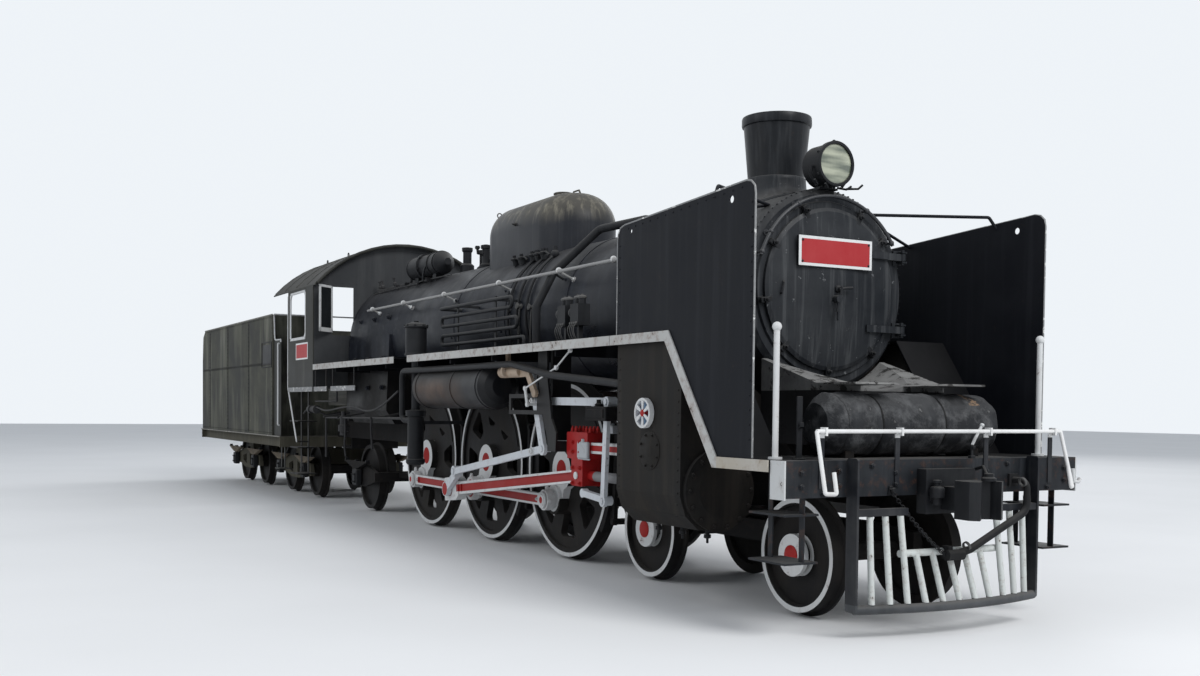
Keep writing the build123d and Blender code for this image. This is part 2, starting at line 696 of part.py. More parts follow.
drum_x = 6090.0
drum_z = 1413.0
drum_radius = 226.0
drum = turned_y([(-935, 0), (-935, 120), (-905, 190), (-850, drum_radius), (-500, drum_radius),
                 (-500, drum_radius + 5), (-440, drum_radius + 5), (-440, drum_radius), (440, drum_radius),
                 (440, drum_radius + 5), (500, drum_radius + 5), (500, drum_radius), (850, drum_radius),
                 (905, 190), (935, 120), (935, 0)], drum_x, drum_z)
cradles = [block(drum_x - 150, drum_x + 150, y - 40, y + 40, beam_top, drum_z - 90) for y in (-600, 600)]
save("front_drum", join(drum, *cradles))

drum_rear = drum_x - drum_radius - 24
apron_z = drum_z + drum_radius + 51
apron = side_plate([(cylinder_front, frame_top), (cylinder_front + 84, frame_top),
                    (cylinder_front + 254, frame_top - 80),
                    (drum_rear, frame_top - 80), (drum_rear, apron_z), (drum_x + 170, apron_z),
                    (drum_x + 170, apron_z + 14), (drum_rear - 10, apron_z + 14),
                    (cylinder_front + 134, apron_z + 170), (cylinder_front, apron_z + 210)], -620, 620)
smokebox_seat = bar_x(smokebox_rear - 60, frame_front, 0, boiler_axis, smokebox_radius + seat_gap)
save("apron", apron - smokebox_seat)

# Cylinders with their cladding, valve chests, covers and saddle
cylinder_parts = []
saddle = cross_plate([(-frame_outer, frame_top), (frame_outer, frame_top), (620, 2100), (-620, 2100)],
                     cylinder_rear + 60, cylinder_front - 60)
for s in (-1, 1):
    side = [(frame_outer, 1050), (700, 1050), (720, 700), (880, cladding_bottom), (1180, cladding_bottom),
            (1300, 700), (cladding_side, 850), (cladding_side, board_top - board_plate),
            (1000, board_top - board_plate), (800, 1750), (frame_outer, 1500)]
    body = cross_plate([(s * y, z) for y, z in side], cylinder_rear, cylinder_front)
    y = s * main_rod_plane
    front = [(0, 0), (0, cylinder_cover_radius), (40, cylinder_cover_radius), (60, 200), (60, 0)]
    cover = turned_x([(cylinder_front - 1 + a, r) for a, r in front], y, cylinder_axis_height)
    rear_cover = turned_x([(cylinder_rear + 1 - a, r) for a, r in front], y, cylinder_axis_height)
    valve = [(0, 0), (0, valve_cover_radius), (80, valve_cover_radius), (100, 110), (100, 0)]
    valve_front = turned_x([(cylinder_front - 1 + a, r) for a, r in valve], y, valve_axis_height)
    valve_rear = turned_x([(cylinder_rear + 1 - a, r) for a, r in valve], y, valve_axis_height)
    guide = block(cylinder_rear - valve_guide_length, cylinder_rear, y - 60, y + 60,
                  valve_axis_height - 60, valve_axis_height + 60)
    piece = join(body, cover, rear_cover, valve_front, valve_rear, guide)
    piece -= bar_x(cylinder_rear - 200, cylinder_rear + 100, y, cylinder_axis_height, piston_rod_radius + seat_gap)
    board_y = sorted((s * board_inner, s * (cladding_side + 10)))
    piece -= side_plate([(board_front_bend - 8, board_top - board_plate), (board_low_x - 6, beam_top - board_plate),
                         (board_low_x - 6, board_top)], *board_y)
    cylinder_parts.append(piece)
cylinders = join(saddle, *cylinder_parts)
cylinders -= smokebox_seat
save("cylinders", cylinders)

# Slide bars from the rear cylinder covers to hangers under the running boards
slide_bars = []
for s in (-1, 1):
    y = sorted((s * (main_rod_plane - slide_bar_width / 2), s * (main_rod_plane + slide_bar_width / 2)))
    bar = block(slide_bar_rear, cylinder_rear, *y, slide_bar_height - slide_bar_depth / 2,
                slide_bar_height + slide_bar_depth / 2)
    hanger_y = sorted((s * (board_inner + 30), s * (main_rod_plane + 60)))
    hanger = block(slide_bar_rear, slide_bar_rear + 45, *hanger_y, slide_bar_height - slide_bar_depth / 2,
                   board_top - board_plate)
    plate_y = sorted((s * (gear_plane + 36), s * (gear_plane + 56)))
    foot_y = sorted((s * (main_rod_plane + slide_bar_width / 2), s * (gear_plane + 56)))
    x = link_trunnion[0]
    z = link_trunnion[1]
    low = slide_bar_height - slide_bar_depth / 2
    plate = side_plate([(x + 150, board_top - board_plate), (x + 340, board_top - board_plate), (x + 350, z + 220),
                        (x + 440, z - 165), (x + 540, z - 295), (x + 530, low), (x + 364, low), (x + 364, low + 100),
                        (x + 250, z - 125), (x + 150, z + 235)], *plate_y)
    carrier = block(x - 500, x + 290, *plate_y, z - 130, z + 67) - block(x - 455, x + 130, *plate_y, z - 90, z + 27)
    foot = block(x + 364, x + 530, *foot_y, low, slide_bar_height + slide_bar_depth / 2)
    slide_bars.append(join(bar, hanger, plate, carrier, foot) - cylinders)
save("slide_bars", *slide_bars)

# Smokebox drum, open at the front behind its door
drum_section = [(smokebox_rear, 0), (smokebox_rear, smokebox_radius), (smokebox_front - 40, smokebox_radius),
                (smokebox_front, smokebox_radius - 40), (smokebox_front, 700), (door_seat, 690),
                (door_seat, door_opening_radius), (smokebox_front - 24, door_opening_radius),
                (smokebox_front - 24, smokebox_radius - smokebox_plate),
                (smokebox_rear + 30, smokebox_radius - smokebox_plate), (smokebox_rear + 30, 0)]
smokebox = turned_x(drum_section, 0, boiler_axis)
lugs = []
for z in hinge_heights:
    for shift in (-46, 34):
        lugs.append(block(smokebox_front - 10, door_hinge_x + 26, door_hinge_y - 26, door_hinge_y + 26,
                          z + shift, z + shift + 12))
    lugs.append(bar_z(z - 60, z + 60, door_hinge_x, door_hinge_y, hinge_pin_radius))
    lugs.append(block(smokebox_front - 20, smokebox_front + 12, door_hinge_y - 60, door_hinge_y + 26, z - 60, z + 60))
save("smokebox", join(smokebox, *lugs))

# Smokebox door, dished, with hinge straps, handles and a plain plate
edge = door_seat + 1
dish = [(edge, 0), (edge, door_radius), (edge + 26, door_radius), (edge + 40, door_radius - 30),
        (edge + door_dish * 0.75, 380), (edge + door_dish, 120), (edge + door_dish, 0)]
door = turned_x(dish, 0, boiler_axis)
face_x = edge + door_dish
door_parts = [door]
for z in hinge_heights:
    door_parts.append(block(edge + 2, door_hinge_x + 12, 380, door_hinge_y - 20, z - 28, z + 28))
    door_parts.append(block(edge + 20, face_x - 8, 340, 560, z - 28, z + 28))
    door_parts.append(bar_z(z - 28, z + 28, door_hinge_x, door_hinge_y, 26))
door_parts.append(block(edge + 40, face_x + 6, -354, 354, 2620, 2857))
door_parts.append(bar_x(face_x - 10, face_x + 60, 0, boiler_axis - 80, 30))
door_parts.append(bar_z(boiler_axis - 250, boiler_axis - 70, face_x + 45, 0, 12))
smokebox_door = join(*door_parts)
for z in hinge_heights:
    smokebox_door -= bar_z(z - 30, z + 30, door_hinge_x, door_hinge_y, hinge_pin_radius + running_fit)
save("smokebox_door", smokebox_door)

# Boiler barrel with cladding bands
band = 6.0


def barrel_body(grow):
    """Tapering barrel with three bands, grown outwards by a clearance."""
    points = [(smokebox_rear, 0), (smokebox_rear, barrel_front_radius + grow)]
    for k in range(1, 4):
        x = smokebox_rear + (barrel_rear - smokebox_rear) * k / 4
        r = barrel_front_radius + (barrel_rear_radius - barrel_front_radius) * k / 4 + grow
        points += [(x + 30, r), (x + 30, r + band), (x - 30, r + band), (x - 30, r)]
    return turned_x(points + [(barrel_rear, barrel_rear_radius + grow), (barrel_rear, 0)], 0, boiler_axis)


save("boiler", barrel_body(0.0))
barrel_seat = barrel_body(seat_gap)

# Firebox, round topped, with its sides brought down between the frames and the cab
crown = turned_x([(barrel_rear, 0), (barrel_rear, barrel_rear_radius), (firebox_rear, firebox_top_radius),
                  (firebox_rear, 0)], 0, boiler_axis)
lower = cross_plate([(-firebox_half_width + 40, boiler_axis), (firebox_half_width - 40, boiler_axis),
                     (firebox_half_width, firebox_bottom + 180), (firebox_half_width - 120, firebox_bottom),
                     (-firebox_half_width + 120, firebox_bottom), (-firebox_half_width, firebox_bottom + 180)],
                    firebox_rear, firebox_front)
firebox = join(crown, lower)
save("firebox", firebox)

# Chimney with its flared foot and thick rim
chimney_foot = boiler_axis + smokebox_radius
chimney = turned_z([(chimney_bore, chimney_foot - 150), (chimney_radius + 130, chimney_foot - 150),
                    (chimney_radius + 95, chimney_foot + 15), (chimney_radius + 30, chimney_foot + 55),
                    (chimney_radius + 14, chimney_foot + 172), (chimney_radius - 4, chimney_foot + 180),
                    (chimney_radius + 34, chimney_top - 110), (chimney_cap_radius, chimney_top - 90),
                    (chimney_cap_radius, chimney_top - 10), (chimney_cap_radius - 12, chimney_top),
                    (chimney_bore + 20, chimney_top), (chimney_bore, chimney_top - 30)], chimney_x, 0)
save("chimney", chimney - smokebox_seat)

# Long rounded dome over the barrel
dome = block(dome_rear, dome_front, -dome_half_width, dome_half_width, boiler_axis + 500, dome_top)
dome = fillet(dome.edges().filter_by(Axis.Z), dome_half_width - 8)
dome = fillet(dome.faces().sort_by(Axis.Z)[-1].edges(), dome_half_width - 30)
dome -= barrel_seat
save("dome", dome)

# Safety valves and whistle behind the dome
valves = []
valve_z = boiler_axis + barrel_rear_radius - 120
valve_shape = [(0, 0), (90, 0), (90, 180), (55, 210), (55, 350), (70, 370), (70, 410), (0, 420)]
for back, y in ((188, 120), (514, -120), (630, 160)):
    valves.append(turned_z([(r, valve_z + a) for r, a in valve_shape], dome_rear - back, y) - barrel_seat)
save("safety_valves", *valves)

# Handrails along the boiler, and the curved one over the smokebox door
firebox_seat = turned_x([(barrel_rear, 0), (barrel_rear, barrel_rear_radius + seat_gap),
                         (firebox_rear - 10, firebox_top_radius + seat_gap), (firebox_rear - 10, 0)], 0, boiler_axis)


def shell_radius(x):
    """Outside radius of smokebox, barrel and firebox at a place along them."""
    if x > smokebox_rear:
        return smokebox_radius
    if x > barrel_rear:
        share = (x - barrel_rear) / (smokebox_rear - barrel_rear)
        return barrel_rear_radius + (barrel_front_radius - barrel_rear_radius) * share
    share = (x - firebox_rear) / (barrel_rear - firebox_rear)
    return firebox_top_radius + (barrel_rear_radius - firebox_top_radius) * share


def spoke(x, degrees, start, end, radius):
    """Round bar standing out from the boiler's axis, at an angle from the left hand side upwards."""
    return Pos(x, 0, boiler_axis) * Rot(degrees, 0, 0) * bar_y(start, end, 0, 0, radius)


def off_boiler(shape):
    """Piece with its foot fitted to the boiler."""
    return shape - barrel_seat - firebox_seat - smokebox_seat


rail_reach = math.hypot(handrail_y, handrail_z - boiler_axis)
rail_angle = math.degrees(math.atan2(handrail_z - boiler_axis, handrail_y))
handrails = []
for s in (-1, 1):
    angle = rail_angle if s > 0 else 180 - rail_angle
    rail = [bar_x(handrail_rear, handrail_front, s * handrail_y, handrail_z, handrail_radius)]
    for x in handrail_posts:
        r = shell_radius(x)
        rail.append(spoke(x, angle, r - 20, rail_reach, 11))
        rail.append(spoke(x, angle, r - 20, r + 12, 28))
        rail.append(Pos(x, s * handrail_y, handrail_z) * Rot(0, 90, 0) * Sphere(27))
    handrails.append(off_boiler(join(*rail)))
front_rail_x = smokebox_front + 66
arc_points = [polar((0, boiler_axis), front_rail_radius, a) for a in (32, 97, 162)]
front_arc = ThreePointArc(*[(front_rail_x, y, z) for y, z in arc_points])
front_rail = [sweep(Plane(origin=front_arc @ 0, z_dir=front_arc % 0) * Circle(15), path=front_arc)]
for a in (34, 62, 118, 146, 160):
    y, z = polar((0, boiler_axis), front_rail_radius, a)
    front_rail.append(bar_x(smokebox_front, front_rail_x, y, z, 10))
    front_rail.append(bar_x(smokebox_front, smokebox_front + 8, y, z, 24))
    front_rail.append(Pos(front_rail_x, y, z) * Rot(a, 0, 0) * Sphere(22))
save("boiler_handrails", *handrails, join(*front_rail))

# Pumps beside the boiler, feed lubricators on the running board and the generator over the firebox
pump_profile = [(0, pump_bottom), (95, pump_bottom), (112, pump_bottom + 24), (112, pump_bottom + 60),
                (95, pump_bottom + 70), (95, pump_bottom + 570), (118, pump_bottom + 575), (118, pump_bottom + 640),
                (50, pump_bottom + 650), (50, board_top - 30), (80, board_top - 20), (80, board_top - 5),
                (125, board_top), (125, pump_top - 20), (105, pump_top), (0, pump_top)]
machines = []
for s in (-1, 1):
    pump = turned_z(pump_profile, pump_x, s * pump_y)
    low_y = sorted((s * frame_outer, s * (pump_y - 90)))
    high_y = sorted((s * 640, s * (pump_y - 40)))
    pump = join(pump, block(pump_x - 20, pump_x + 46, *low_y, frame_top - 40, frame_top),
                block(pump_x - 44, pump_x + 46, *high_y, board_top - 60, board_top - 30))
    machines.append(pump - barrel_seat)
for x in lubricators:
    box = join(block(x - 20, x + 20, -pump_y - 20, -pump_y + 20, board_top, board_top + 150),
               block(x - 75, x + 75, -pump_y - 60, -pump_y + 60, board_top + 140, board_top + 330),
               bar_z(board_top + 325, board_top + 385, x - 35, -pump_y, 32),
               bar_z(board_top + 325, board_top + 385, x + 40, -pump_y, 32),
               bar_x(x - 130, x - 70, -pump_y, board_top + 260, 46))
    machines.append(box)
length = generator_front - generator_rear
generator = turned_x([(generator_rear, 0), (generator_rear, 120), (generator_rear + 60, 150),
                      (generator_rear + length * 0.34, 150), (generator_rear + length * 0.34, 172),
                      (generator_rear + length * 0.39, 172), (generator_rear + length * 0.39, 146),
                      (generator_front - 150, 146), (generator_front - 20, 50), (generator_front, 45),
                      (generator_front, 0)], generator_y, generator_z)
for x in (generator_rear + 200, generator_front - 330):
    generator += block(x - 60, x + 60, generator_y - 60, generator_y + 60, boiler_axis + 600, generator_z - 60)
machines.append(off_boiler(generator))
save("auxiliary_machines", *machines)

# Cooling coil, steam pipe, sand pipes and the long pipe under the running board
rows = [coil_bottom + coil_pitch * k for k in range(coil_rows)]
coil_path = [(coil_front + 180, -coil_y, board_top), (coil_front + 180, -coil_y, rows[0]),
             (coil_rear, -coil_y, rows[0]), (coil_rear, -coil_y, rows[1]), (coil_front, -coil_y, rows[1]),
             (coil_front, -coil_y, rows[2]), (coil_rear, -coil_y, rows[2]), (coil_rear, -coil_y, rows[3]),
             (coil_front - 128, -coil_y, rows[3]), (coil_front - 128, -coil_y, rows[4]),
             (coil_rear - 60, -coil_y, rows[4]), (coil_rear - 60, -740, rows[4])]
coil = [pipe(coil_path, 20, 48)]
for x in (0.0, 1040.0):
    coil.append(block(x - 16, x + 16, -coil_y + 14, -coil_y + 28, board_top, rows[4] + 40))
    coil.append(block(x - 16, x + 16, -coil_y + 20, -740, rows[4] - 12, rows[4] + 12))
pipes = [join(*coil) - barrel_seat]
steam = pipe([(smokebox_rear - 440, -300, 3110), (smokebox_rear - 660, -300, 3290), (steam_pipe_x + 270, -430, 3270),
              (steam_pipe_x + 20, -810, 2840), (steam_pipe_x, -985, 2500), (steam_pipe_x, -985, board_top)], 40, 90)
steam = join(steam, bar_z(board_top, board_top + 24, steam_pipe_x, -985, 78),
             spoke(steam_pipe_x + 20, 180 - 25, shell_radius(steam_pipe_x) - 20, 900, 12))
pipes.append(off_boiler(steam))
for s in (-1, 1):
    for x in sand_pipes:
        reach = shell_radius(x) + 22
        points = [polar((0, boiler_axis), reach, a) for a in (54, 12, -27)]
        arc = ThreePointArc(*[(x, s * y, z) for y, z in points])
        sand = [sweep(Plane(origin=arc @ 0, z_dir=arc % 0) * Circle(14), path=arc)]
        y, z = points[0]
        sand.append(Pos(x, s * y, z + 10) * Sphere(44))
        sand.append(bar_z(z, z + 90, x, s * y, 24))
        for a in (5, -20):
            sand.append(spoke(x, a if s > 0 else 180 - a, shell_radius(x) - 20, reach, 20))
        pipes.append(join(*sand) - barrel_seat - dome)
under = [pipe([(pump_x, -under_pipe_y + 40, pump_bottom + 520), (pump_x - 194, -under_pipe_y, pump_bottom + 520),
               (pump_x - 194, -under_pipe_y, under_pipe_z), (link_trunnion[0] - 230, -under_pipe_y, under_pipe_z),
               (link_trunnion[0] + 558, -under_pipe_y, under_pipe_z - 118),
               (cylinder_rear, -under_pipe_y, under_pipe_z - 220)], 33, 80)]
for x in (600, 1700):
    under.append(block(x - 12, x + 12, -under_pipe_y - 14, -under_pipe_y + 14, under_pipe_z, board_top - 130))
pipes.append(join(*under) - machines[0] - cylinders)
save("boiler_pipes", *pipes)

# Air reservoirs hung under the running boards
reservoirs = []
for s in (-1, 1):
    shape = [(0, 0), (0, 110), (40, 180), (110, reservoir_radius), (165, reservoir_radius),
             (165, reservoir_radius + 6), (215, reservoir_radius + 6), (215, reservoir_radius)]
    a, b = reservoir_rear, reservoir_front
    middle = reservoir_rear + 1225
    profile = [(a + d, r) for d, r in shape]
    profile += [(middle, reservoir_radius), (middle, reservoir_radius + 6), (middle + 50, reservoir_radius + 6),
                (middle + 50, reservoir_radius)]
    profile += [(b - d, r) for d, r in reversed(shape)]
    tank = [turned_x(profile, s * reservoir_y, reservoir_z)]
    for x in reservoir_hangers:
        y = s * reservoir_y
        tank.append(block(x - 25, x + 25, y - 18, y + 18, reservoir_z + reservoir_radius - 20,
                          board_top - board_plate))
    reservoirs.append(join(*tank))
save("reservoirs", *reservoirs)

# Brake gear: a shoe on a hanger for each driving wheel, and cross beams
brakes = []
for x in driver_xs.values():
    pieces = [bar_y(-600, 600, x + driver_radius + 30, axle_height - 445, 30)]
    for s in (-1, 1):
        y = sorted((s * (wheel_back + 41), s * tyre_face))
        ring = bar_y(*y, x, axle_height, driver_radius + 62) - bar_y(*y, x, axle_height, driver_radius + 8)
        corners = [polar((x, axle_height), r, a) for r, a in ((700, -13), (1100, -13), (1100, -37), (700, -37))]
        shoe = ring & side_plate(corners, *y)
        y = sorted((s * (wheel_back + 55), s * (wheel_back + 95)))
        hanger = link_bar((x + driver_pitch / 2, frame_top - 40), (x + driver_radius + 30, axle_height - 445),
                          *y, 50, 36, 36)
        head = block(x + driver_radius - 40, x + driver_radius + 30, *y, axle_height - 420, axle_height - 350)
        pin = bar_y(*sorted((s * frame_outer, s * (wheel_back + 105))), x + driver_pitch / 2, frame_top - 40, 25)
        pieces += [shoe, hanger, head, pin]
    brakes.append(join(*pieces))
save("brake_gear", *brakes)

# Headlamp on its bracket over the smokebox
lamp = turned_x([(headlamp_x - headlamp_length / 2, 0), (headlamp_x - headlamp_length / 2, 100),
                 (headlamp_x - 70, headlamp_radius - 12), (headlamp_x + 110, headlamp_radius - 12),
                 (headlamp_x + 110, headlamp_radius), (headlamp_x + 150, headlamp_radius),
                 (headlamp_x + 150, headlamp_radius - 16), (headlamp_x + 136, headlamp_radius - 16),
                 (headlamp_x + 136, 0)], 0, headlamp_z)
stand = join(block(headlamp_x - 200, headlamp_x + 60, -90, 90, headlamp_z - 190, headlamp_z - 174),
             block(headlamp_x - 60, headlamp_x + 40, -50, 50, headlamp_z - 180, headlamp_z - 100),
             block(smokebox_front - 160, smokebox_front - 60, -60, 60, boiler_axis + 700, headlamp_z - 180))
save("headlamp", join(lamp, stand) - smokebox_seat)


def running_board(s):
    """Footplate with its edge strip: level, sloping down ahead of the cylinders, and level again."""
    front_end = frame_front - 130
    y = sorted((s * board_inner, s * (board_edge - valance_plate)))
    top_line = [(board_front_rear, board_top), (board_front_bend, board_top), (board_low_x, beam_top),
                (front_end, beam_top)]
    under = [(front_end, beam_top - board_plate), (board_low_x - 6, beam_top - board_plate),
             (board_front_bend - 8, board_top - board_plate), (board_front_rear, board_top - board_plate)]
    plate = side_plate(top_line + under, *y)
    edge_y = sorted((s * (board_edge - valance_plate), s * board_edge))
    edge_under = [(front_end, beam_top - valance_depth), (board_low_x - 50, beam_top - valance_depth),
                  (board_front_bend - 50, board_top - valance_depth), (board_front_rear, board_top - valance_depth)]
    edge_strip = side_plate(top_line + edge_under, *edge_y)
    board_rear = cab_front + seat_gap
    rear_plate = block(board_rear, board_rear_front, *y, board_top - board_plate, board_top)
    rear_edge = block(board_rear, board_rear_front, *edge_y, board_top - valance_depth, board_top)
    bracket_y = sorted((s * 600, s * (board_edge - 40)))
    tall = board_top - 130
    brackets = [side_plate([(x - 12, tall), (x + 12, tall), (x + 12, board_top - board_plate),
                            (x - 12, board_top - board_plate)], *bracket_y)
                for x in (-3600, -2600, -1500, -400, 600, 1700, 3100)]
    front = join(plate, edge_strip, *brackets[3:]) - barrel_seat
    rear = join(rear_plate, rear_edge, *brackets[:3]) - firebox - barrel_seat
    return front, rear


for s, name in ((-1, "right"), (1, "left")):
    save(f"running_board_{name}", *running_board(s))


def deflector(s):
    """Tall smoke deflector plate with rounded corners and two holes."""
    points = [(deflector_rear, board_top), (board_front_bend, board_top), (board_low_x, beam_top),
              (deflector_front, beam_top), (deflector_front, deflector_top_front),
              (deflector_rear, deflector_top_rear)]
    face = make_face(Polyline(*points, close=True))
    tops = face.vertices().sort_by(Axis.Y)[-2:]
    face = fillet(tops, 110)
    face -= Pos(5837, 2951) * Circle(26)
    face -= Pos(4464, 2900) * Circle(16)
    y = sorted((s * deflector_y, s * (deflector_y + deflector_plate)))
    plane = Plane(origin=(0, y[1], 0), x_dir=(1, 0, 0), z_dir=(0, -1, 0))
    plate = extrude(plane * face, amount=deflector_plate)
    middle = s * (deflector_y + deflector_plate / 2)
    foot_y, foot_z = 450, boiler_axis + 655
    stay_foot = (smokebox_front - 174, s * foot_y, foot_z)
    front_stay = pipe([stay_foot, (deflector_front - 533, s * 1330, deflector_top_front + 27),
                       (deflector_front - 498, middle, deflector_top_front - 70)], 13, 30)
    rear_stay = pipe([stay_foot, (deflector_rear + 363, middle, deflector_top_rear)], 13, 0)
    return join(plate, front_stay, rear_stay) - smokebox_seat


for s, name in ((-1, "right"), (1, "left")):
    save(f"smoke_deflector_{name}", deflector(s))

# Cab: front wall round the firebox, sides, roof and floor
roof_rise = roof_crown - eaves_height
roof_radius = (cab_half_width ** 2 + roof_rise ** 2) / (2 * roof_rise)


def roof_arch(inset, x0, x1):
    """Solid under the curve of the roof, set in by a wall."""
    rise = roof_radius - inset - math.sqrt((roof_radius - inset) ** 2 - (cab_half_width - inset) ** 2)
    half = cab_half_width - inset
    crown_z = roof_crown - inset
    arc = ThreePointArc((-half, crown_z - rise), (0, crown_z), (half, crown_z - rise))
    base = Polyline((half, crown_z - rise), (half, cab_bottom), (-half, cab_bottom), (-half, crown_z - rise))
    plane = Plane(origin=(x0, 0, 0), x_dir=(0, 1, 0), z_dir=(1, 0, 0))
    return extrude(plane * make_face([arc, *base.edges()]), amount=x1 - x0)


wall = roof_arch(roof_plate, cab_front - cab_wall, cab_front)
wall -= block(cab_front - 100, cab_front + 100, -cab_half_width, -cab_half_width + cab_wall, cab_bottom - 1, 4000)
wall -= block(cab_front - 100, cab_front + 100, cab_half_width - cab_wall, cab_half_width, cab_bottom - 1, 4000)
wall -= bar_x(cab_front - 100, cab_front + 100, 0, boiler_axis, 600)
wall -= block(cab_front - 100, cab_front + 100, -600, 600, cab_bottom - 10, boiler_axis)
for s in (-1, 1):
    y = sorted((s * front_window[0], s * front_window[1]))
    wall -= block(cab_front - 100, cab_front + 100, *y, front_window_sill, eaves_height - front_window_drop)
save("cab_front", wall)
for s, name in ((-1, "right"), (1, "left")):
    y = sorted((s * cab_half_width, s * (cab_half_width - cab_wall)))
    side = block(cab_rear, cab_front, *y, cab_bottom, eaves_height - 10)
    side -= block(*side_window, y[0] - 1, y[1] + 1, side_window_sill, eaves_height - side_window_drop)
    save(f"cab_side_{name}", side)
roof = roof_arch(0, roof_rear, cab_front + roof_front_overhang) - roof_arch(roof_plate, roof_rear - 1,
                                                                             cab_front + roof_front_overhang + 1)
roof -= block(roof_rear - 1, cab_front + 200, -2000, 2000, 0, eaves_height - 10)
save("cab_roof", roof)
floor = block(cab_rear, cab_front - cab_wall, -cab_half_width + cab_wall, cab_half_width - cab_wall,
              cab_bottom, cab_bottom + cab_floor_plate)
floor_parts = [block(x - 60, x + 60, y - 60, y + 60, firebox_bottom, cab_bottom)
               for x in (cab_rear + 90, cab_rear + 990) for y in (-frame_outer + 43, frame_outer - 43)]
step_front = cab_rear + 40 + step_width
for s in (-1, 1):
    strap_y = sorted((s * (cab_half_width - 200), s * (cab_half_width - 188)))
    tread_y = sorted((s * (cab_half_width - 320), s * (cab_half_width - 20)))
    for x in (cab_rear + 40, step_front - 60):
        floor_parts.append(block(x, x + 60, *strap_y, step_heights[0], cab_bottom + 5))
    for z in step_heights:
        floor_parts.append(block(cab_rear + 40, step_front, *tread_y, z, z + 15))
    y = s * (cab_half_width - 15)
    rail_x = cab_rear - 40
    floor_parts.append(pipe([(rail_x, y, eaves_height - 72), (rail_x, y, cab_bottom), (step_front - 30, y, 958)],
                            14, 90))
    top_y = sorted((s * (cab_half_width - 26), s * (cab_half_width - 4)))
    floor_parts.append(block(rail_x, cab_rear, *top_y, eaves_height - 110, eaves_height - 90))
    low_y = sorted((s * (cab_half_width - 30), s * (cab_half_width - cab_wall)))
    floor_parts.append(block(rail_x, cab_rear + 10, *low_y, cab_bottom + 5, cab_bottom + 20))
    foot_y = sorted((s * (cab_half_width - 195), s * (cab_half_width - 10)))
    floor_parts.append(block(step_front - 42, step_front - 18, *foot_y, 940, 960))
save("cab_floor", join(floor, *floor_parts))

# Boiler's rear end in the cab with fire door, regulator handle, gauges and water glasses
backhead = cross_plate([(-580, cab_bottom + cab_floor_plate), (580, cab_bottom + cab_floor_plate), (580, boiler_axis),
                        (-580, boiler_axis)], backhead_rear, firebox_rear)
crown_end = bar_x(backhead_rear, firebox_rear, 0, boiler_axis, 580)
door_ring = bar_x(backhead_rear - 25, backhead_rear, 0, cab_bottom + 400, 210)
gauges = [bar_x(backhead_rear - 35, backhead_rear, y, boiler_axis + 380, 80) for y in (-110, 110)]
glasses = [bar_z(boiler_axis - 40, boiler_axis + 260, backhead_rear - 20, y, 20) for y in (-330, 330)]
lever = pipe([(backhead_rear - 20, -60, boiler_axis + 180), (backhead_rear - 20, 300, boiler_axis + 90)], 18, 0)
boss = bar_x(backhead_rear - 30, backhead_rear, 0, boiler_axis + 165, 60)
save("backhead", join(backhead, crown_end, door_ring, *gauges, *glasses, lever, boss))

# Leading bogie with inside frames
bogie_top = 880.0


def inside_bogie():
    half = leading_wheelbase / 2
    x = leading_bogie_x
    z = small_wheel_radius
    points = [(x - half - 230, z - 110), (x - half + 230, z - 110), (x - half + 400, z + 20),
              (x + half - 400, z + 20), (x + half - 230, z - 110), (x + half + 230, z - 110),
              (x + half + 230, z + 150), (x + half - 260, z + 190), (x - half + 260, z + 190),
              (x - half - 230, z + 150)]
    side = side_plate(points, 320, 400, corner=20)
    centre = block(x - 260, x + 260, -320, 320, z + 60, z + 250)
    frame = join(side, mirrored(side), centre)
    frame -= bar_z(z, 1000, x, 0, 90 + running_fit)
    for axle in leading_axles.values():
        frame -= bar_y(-500, 500, axle, z, small_axle_radius + running_fit)
    return frame


save("leading_bogie", inside_bogie())

# Trailing truck: radial arms from its pivot, and frames outside the wheels
z = trailing_wheel_radius
x = trailing_axle_x
truck_side = side_plate([(x - 420, z - 130), (x + 200, z - 130), (x + 640, z - 40), (x + 640, z + 90),
                         (x + 200, z + 190), (x - 420, z + 190)],
                        side_frame_inner, side_frame_inner + side_frame_plate, corner=25)
cross = block(x + 540, x + 640, -side_frame_inner, side_frame_inner, z - 40, z + 90)
nose = join(bar_z(z + 10, z + 80, trailing_pivot_x, 0, 110),
            deck_plate([(trailing_pivot_x, -90), (trailing_pivot_x, 90), (x + 600, 420), (x + 600, 300),
                        (trailing_pivot_x - 300, 0), (x + 600, -300), (x + 600, -420)], z + 10, z + 80))
truck = join(truck_side, mirrored(truck_side), cross, nose)
truck -= bar_z(z - 100, z + 200, trailing_pivot_x, 0, 50 + running_fit)
truck -= bar_y(-900, 900, x, z, small_axle_radius - 8 + running_fit)
save("trailing_truck", truck)


